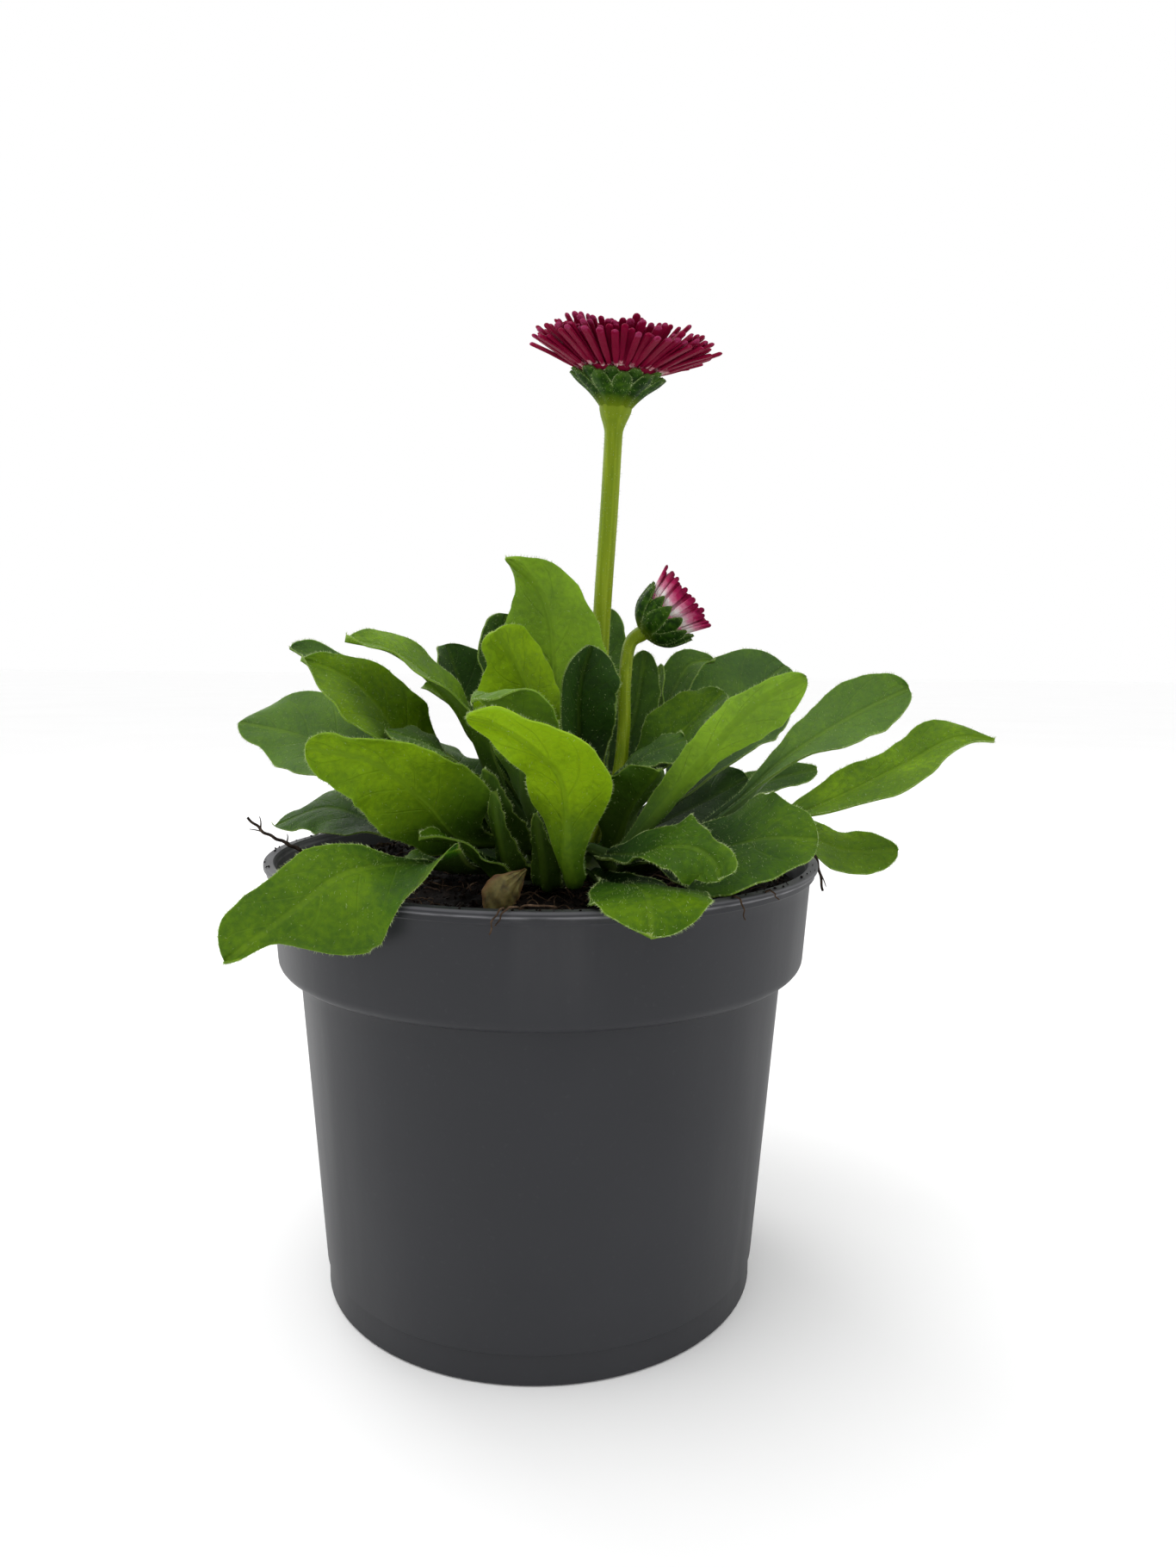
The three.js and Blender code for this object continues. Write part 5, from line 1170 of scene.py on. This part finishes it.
# Materials
class Look:
    """A material whose nodes end in one Principled shader."""
    def __init__(self, name, **settings):
        self.material = bpy.data.materials.new(name)
        self.material.use_nodes = True
        self.tree = self.material.node_tree
        self.shader = self.tree.nodes["Principled BSDF"]
        for key, value in settings.items():
            self.shader.inputs[key.replace("_", " ")].default_value = value

    def feed(self, socket, value):
        if isinstance(value, bpy.types.NodeSocket):
            self.tree.links.new(value, socket)
        else:
            socket.default_value = value

    def node(self, kind, output, inputs, **settings):
        """One output of a new node with those inputs, each a link or a value."""
        made = self.tree.nodes.new(kind)
        for key, value in settings.items():
            setattr(made, key, value)
        for key, value in inputs.items():
            self.feed(made.inputs[key], value)
        return made.outputs[output]

    def value(self, name):
        return self.node("ShaderNodeAttribute", "Fac", {}, attribute_name=name)

    def size(self, name):
        return self.maths("ABSOLUTE", self.value(name))

    def place(self):
        return self.node("ShaderNodeTexCoord", "Object", {})

    def away(self, centre):
        """The distance in metres from a centre in millimetres."""
        return self.node("ShaderNodeVectorMath", "Value", {0: self.place(), 1: centre * MM},
                         operation="DISTANCE")

    def height(self):
        return self.node("ShaderNodeSeparateXYZ", "Z", {0: self.place()})

    def noise(self, scale, detail=3.0, stretch=(1, 1, 1)):
        place = self.node("ShaderNodeMapping", "Vector", {"Vector": self.place(), "Scale": stretch})
        return self.node("ShaderNodeTexNoise", "Fac",
                         {"Vector": place, "Scale": scale, "Detail": detail})

    def cells(self, scale, feature="F1"):
        return self.node("ShaderNodeTexVoronoi", "Distance",
                         {"Vector": self.place(), "Scale": scale}, feature=feature)

    def maths(self, what, a, b=0.0):
        return self.node("ShaderNodeMath", "Value", {0: a, 1: b}, operation=what)

    def plus(self, a, b):
        return self.maths("ADD", a, b)

    def times(self, a, b):
        return self.maths("MULTIPLY", a, b)

    def span(self, value, low, high, to_low=0.0, to_high=1.0, smooth=False):
        inputs = {"Value": value, "From Min": low, "From Max": high, "To Min": to_low,
                  "To Max": to_high}
        return self.node("ShaderNodeMapRange", "Result", inputs, clamp=True,
                         interpolation_type="SMOOTHSTEP" if smooth else "LINEAR")

    def band(self, value, start, full, fade, end):
        """1 between full and fade, and 0 outside start and end."""
        return self.times(self.span(value, start, full), self.span(value, fade, end, 1.0, 0.0))

    def ramp(self, value, *stops):
        made = self.tree.nodes.new("ShaderNodeValToRGB")
        self.feed(made.inputs["Fac"], value)
        elements = made.color_ramp.elements
        while len(elements) < len(stops):
            elements.new(0.5)
        for element, (at, code) in zip(elements, stops):
            element.position = at
            element.color = colour(code)
        return made.outputs["Color"]

    def mix(self, share, a, b, how="MIX"):
        return self.node("ShaderNodeMix", MIX_RESULT, {"Factor": share, MIX_A: a, MIX_B: b},
                         data_type="RGBA", blend_type=how, clamp_factor=True)

    def tint(self, base, share, code):
        """The base colour with a share of another one over it."""
        return self.mix(share, base, colour(code))

    def bump(self, height, distance, strength):
        normal = self.node("ShaderNodeBump", "Normal", {
            "Height": height, "Distance": distance * MM, "Strength": strength})
        self.paint("Normal", normal)

    def paint(self, socket, value):
        self.feed(self.shader.inputs[socket], value)
        return self.material


def leaf_base(look, fine):
    """The blade's colour by its tone, and the tone with painted shade: darker at the foot, near the crown
    and low down near the peat.
    """
    tone = look.times(look.value("tone"), 0.5)
    tone = look.plus(tone, 0.5)
    # Painted shade: blades darken low down near the peat and close to the crown.
    low = look.times(look.span(look.height(), 0.092, 0.114, -0.45, 0.0),
                     look.span(look.away(CROWN_CENTRE), 0.042, 0.062, 1.0, 0.0))
    # Two random changes of tone, then painted shade towards each leaf's foot, near the crown and low
    # down.
    for change in (look.span(look.noise(90, 3), 0.3, 0.7, -0.1, 0.1),
                   look.span(fine, 0.3, 0.7, -0.07, 0.07),
                   look.span(look.value("along"), 0.1, 0.7, -0.3, 0.02, smooth=True),
                   look.span(look.away(CROWN_CENTRE), 0.018, 0.045, -0.22, 0.0),
                   low):
        tone = look.plus(tone, change)
    base = look.ramp(tone, (0.0, "0a2001"), (0.3, "1f3e01"), (0.5, "3a5a01"), (0.72, "5a7a01"),
                     (1.0, "8cb002"))
    # Bluish pale tint by each leaf's blue: partly the blade's own blue-green, partly a painted sheen of
    # sky on the far leaf tops.
    blue = look.value("blue")
    base = look.mix(look.times(blue, 0.75), base,
                    look.mix(1.0, base, colour("a8c8c0"), "MULTIPLY"))
    base = look.tint(base, look.times(blue, 0.2), "8aa67a")
    under = look.span(look.value("under"), 0.4, 0.6, 0.0, 0.2)
    return look.tint(base, under, "5a7a20"), tone


def leaf_veins(look, across, width, blade):
    """The midrib, the side veins and the net between them, from 0 to 1."""
    middle = look.span(width, 0.25, 0.85, 1.0, 0.0, smooth=True)
    place = look.maths("FRACT", look.value("vein"))
    ridge = look.maths("ABSOLUTE", look.maths("SUBTRACT", place, 0.5))
    full = look.span(blade, 0.3, 0.8)
    lateral = look.times(look.span(ridge, 0.44, 0.5, smooth=True), full)
    lateral = look.times(lateral, look.span(across, 0.6, 0.95, 1.0, 0.1))
    net = look.times(look.span(look.cells(700, "DISTANCE_TO_EDGE"), 0.0, 0.09, 1.0, 0.0), full)
    finer = look.maths("MAXIMUM", look.times(lateral, 0.5), look.times(net, 0.2))
    return look.maths("MAXIMUM", look.times(middle, 0.9), finer)


def leaf_look():
    look = Look("leaf", Subsurface_Weight=0.2, Subsurface_Scale=0.001,
                Subsurface_Radius=GREEN_GLOW, Specular_IOR_Level=0.1)
    fine = look.noise(900, 4)
    base, tone = leaf_base(look, fine)
    across, wide, blade = look.size("across"), look.value("wide"), look.value("blade")
    width = look.times(across, wide)
    veins = leaf_veins(look, across, width, blade)
    base = look.tint(base, look.times(veins, look.span(tone, 0.25, 0.65, 0.07, 0.16)), "84a428")
    base = look.tint(base, look.times(veins, look.span(tone, 0.65, 0.85, 0.0, 0.3)), "2f5202")
    # Pale margin: partly the hairy edge's own paleness, partly a painted highlight where the edge catches
    # light.
    rim = look.span(look.maths("SUBTRACT", wide, width), 0.05, 0.3, 1.0, 0.0, smooth=True)
    rim = look.times(rim, look.span(blade, 0.1, 0.5, 0.0, 0.24))
    base = look.tint(base, rim, "94ac48")
    spots = look.times(look.span(look.cells(260), 0.05, 0.14, 1.0, 0.0),
                       look.span(look.noise(60, 1), 0.62, 0.7, 0.0, 0.6))
    base = look.tint(base, spots, "4a4a14")
    look.bump(look.plus(look.times(fine, 0.5), look.times(veins, -0.7)), 0.35, 0.8)
    look.paint("Roughness", look.span(fine, 0.3, 0.7, 0.5, 0.7))
    return look.paint("Base Color", base)


def hair_look():
    look = Look("plant_hair", Roughness=0.6, Specular_IOR_Level=0.2)
    return look.paint("Base Color", look.ramp(look.noise(500), (0.3, "8fa862"), (0.7, "bccb94")))


def stalk_look():
    look = Look("stalk", Roughness=0.5, Subsurface_Weight=0.3, Subsurface_Scale=0.002,
                Subsurface_Radius=GREEN_GLOW, Specular_IOR_Level=0.15)
    streak = look.noise(700, 3, (1, 1, 0.06))
    base = look.ramp(streak, (0.25, "5c7408"), (0.5, "72860a"), (0.75, "8c9e22"))
    base = look.tint(base, look.span(look.value("rib"), 0.3, 1.0, 0.0, 0.3), "98a82c")
    base = look.tint(base, look.span(look.value("along"), 0.93, 1.0, 0.0, 0.7), "71850c")
    look.bump(streak, 0.15, 0.6)
    return look.paint("Base Color", base)


def bract_look():
    look = Look("bract", Roughness=0.65, Subsurface_Weight=0.2, Subsurface_Scale=0.001,
                Subsurface_Radius=GREEN_GLOW, Specular_IOR_Level=0.1)
    fuzz = look.noise(900, 4)
    along = look.value("along")
    base = look.ramp(look.plus(fuzz, look.times(look.value("wild"), 0.12)),
                     (0.3, "122c02"), (0.5, "234205"), (0.75, "3c5e0c"))
    edge = look.span(look.size("across"), 0.72, 1.0, smooth=True)
    pale = look.maths("MAXIMUM", edge, look.span(along, 0.86, 1.0))
    base = look.tint(base, look.times(pale, 0.28), "6f8a44")
    base = look.tint(base, look.span(along, 0.03, 0.36, 0.9, 0.0), "64780c")
    look.bump(fuzz, 0.3, 0.7)
    return look.paint("Base Color", base)


def floret_look(name, stops):
    look = Look(name, Roughness=0.55, Subsurface_Weight=0.1, Subsurface_Scale=0.0008,
                Subsurface_Radius=PETAL_GLOW, Specular_IOR_Level=0.06)
    grain = look.noise(1500, 2)
    along = look.plus(look.value("along"), look.span(grain, 0.3, 0.7, -0.05, 0.05))
    along = look.plus(along, look.times(look.value("wild"), 0.06))
    base = look.ramp(along, *stops)
    look.bump(grain, 0.12, 0.5)
    return look.paint("Base Color", base)


def plastic_look():
    look = Look("pot_plastic", Specular_IOR_Level=0.32)
    broad = look.noise(14, 4)
    streak = look.noise(60, 5, (1, 1, 0.12))
    speck = look.noise(900, 4)
    scuff = look.noise(160, 6, (1, 1, 5))
    base = look.ramp(look.plus(look.times(broad, 0.6), look.times(streak, 0.4)),
                     (0.3, "1e1f23"), (0.5, "232428"), (0.7, "292a2e"))
    base = look.tint(base, look.span(speck, 0.62, 0.75, 0.0, 0.15), "3c3c3f")
    z = look.height()
    worn = look.times(look.span(z, 0.0905, 0.0925), look.span(scuff, 0.55, 0.7, 0.0, 0.15))
    base = look.tint(base, worn, "66666a")
    # Painted highlight: a thin light line along the foot of the lip's bead, broken up by scuffs.
    line = look.times(look.band(z, 0.0924, 0.0927, 0.0929, 0.0932),
                      look.span(scuff, 0.35, 0.55, 0.1, 0.5))
    base = look.tint(base, line, "8a8a8e")
    # Painted highlight: a thin light line along the lip's top outer edge.
    top_edge_highlight = look.band(z, 0.0934, 0.0936, 0.0938, 0.094)
    base = look.tint(base, look.times(top_edge_highlight, 0.2), "8a8a8e")
    dust = look.times(look.span(z, 0.071, 0.094), look.span(streak, 0.55, 0.8, 0.0, 0.15))
    base = look.tint(base, dust, "6a6866")
    base = look.tint(base, look.span(z, 0.0, 0.02, 0.25, 0.0), "2c2c2e")
    look.bump(look.plus(look.times(speck, 0.4), streak), 0.08, 0.5)
    look.paint("Roughness", look.span(streak, 0.3, 0.7, 0.42, 0.58))
    return look.paint("Base Color", base)


def peat_look(name, dark, mid, light, size):
    look = Look(name, Roughness=0.9, Specular_IOR_Level=0.15)
    grain = look.noise(size, 6)
    clump = look.cells(size * 0.7)
    base = look.ramp(grain, (0.3, dark), (0.55, mid), (0.78, light))
    look.bump(look.plus(grain, clump), 1.2, 0.9)
    return look.paint("Base Color", base)


def dry_look():
    look = Look("dry_leaf", Roughness=0.75, Subsurface_Weight=0.15, Subsurface_Scale=0.001)
    grain = look.noise(500, 5)
    base = look.ramp(grain, (0.3, "3a3210"), (0.5, "5c5222"), (0.75, "786c38"))
    base = look.tint(base, look.span(look.size("across"), 0.6, 1.0, 0.0, 0.6), "5c2e1c")
    look.bump(grain, 0.4, 0.8)
    return look.paint("Base Color", base)


def crown_look():
    look = Look("crown", Roughness=0.6, Subsurface_Weight=0.15, Subsurface_Scale=0.002)
    streak = look.noise(300, 4, (1, 1, 0.4))
    base = look.ramp(streak, (0.3, "1c2408"), (0.5, "33440e"), (0.75, "5c7020"))
    look.bump(streak, 0.6, 0.8)
    return look.paint("Base Color", base)


def all_looks():
    return {
        "leaf": leaf_look(),
        "hair": hair_look(),
        "stalk": stalk_look(),
        "bract": bract_look(),
        # The crimson ramp's last stop, a lighter pink at the very tips, is a painted highlight.
        "crimson": floret_look("crimson_floret", (
            (0.0, "ecdccc"), (0.06, "d08c98"), (0.13, "7c0a30"), (0.6, "720028"), (0.95, "78022c"),
            (1.0, "8c2850"))),
        "pink": floret_look("pink_floret", (
            (0.0, "f4efe6"), (0.3, "f0e2e4"), (0.5, "d27c9c"), (0.74, "a81e54"), (1.0, "6c0a30"))),
        "plastic": plastic_look(),
        "peat": peat_look("peat", "050302", "100a07", "241913", 400),
        "crumb": peat_look("peat_crumb", "080503", "1a110b", "34241a", 900),
        "fibre": peat_look("peat_fibre", "1c140e", "443426", "75604c", 600),
        "crown": crown_look(),
        "dry": dry_look(),
        "root": peat_look("root", "1c1612", "3a2f28", "6a5a4c", 800),
    }


# Studio
def make_camera():
    """The camera that the photograph was fitted with."""
    down, right, roll = (math.radians(a) for a in (CAMERA_DOWN, CAMERA_RIGHT, CAMERA_ROLL))
    ahead = Vector((math.sin(right) * math.cos(down), math.cos(right) * math.cos(down),
                    -math.sin(down)))
    level = Vector((math.cos(right), -math.sin(right), 0))
    up = level.cross(ahead)
    across = math.cos(roll) * level + math.sin(roll) * up
    up = math.cos(roll) * up - math.sin(roll) * level
    camera = bpy.data.cameras.new("camera")
    camera.sensor_fit = "VERTICAL"
    camera.sensor_height = SENSOR_MM
    camera.lens = FOCAL_PX * SENSOR_MM / PHOTO_HEIGHT_PX
    camera.clip_start = 0.01
    made = new_object("camera", camera)
    turn = Matrix((across, up, -ahead)).transposed().to_4x4()
    turn.translation = Vector(CAMERA_AT) * MM
    made.matrix_world = turn
    bpy.context.scene.camera = made


def area_light(name, place, aim, size, power):
    light = bpy.data.lights.new(name, "AREA")
    light.shape = "DISK"
    light.size = size
    light.energy = power
    made = new_object(name, light)
    made.location = place
    made.rotation_euler = (Vector(aim) - Vector(place)).to_track_quat("-Z", "Y").to_euler()


def make_studio():
    corners = [(x * FLOOR_HALF, y * FLOOR_HALF, 0) for x, y in ((-1, -1), (1, -1), (1, 1), (-1, 1))]
    mesh = new_mesh("studio_floor", corners, [(0, 1, 2, 3)])
    floor = new_object("studio_floor", mesh)
    floor.location.z = -FLOOR_DROP * MM
    look = Look("pale_floor", Roughness=0.8, Specular_IOR_Level=0.2)
    pale = look.ramp(look.noise(3, 2), (0.3, "fcfcfc"), (0.7, "fefefe"))
    mesh.materials.append(look.paint("Base Color", pale))
    world = bpy.data.worlds.new("studio")
    world.use_nodes = True
    back = world.node_tree.nodes["Background"]
    back.inputs["Color"].default_value = (1, 1, 1, 1)
    back.inputs["Strength"].default_value = WORLD_LIGHT
    bpy.context.scene.world = world
    bpy.context.scene.view_settings.view_transform = "Standard"
    area_light("key_light", **KEY_LIGHT)
    area_light("back_light", **BACK_LIGHT)


def make_all():
    looks = all_looks()
    make_leaves(looks)
    make_blooms(looks)
    make_pot(looks)
    make_ground(looks)
    make_camera()
    make_studio()


make_all()
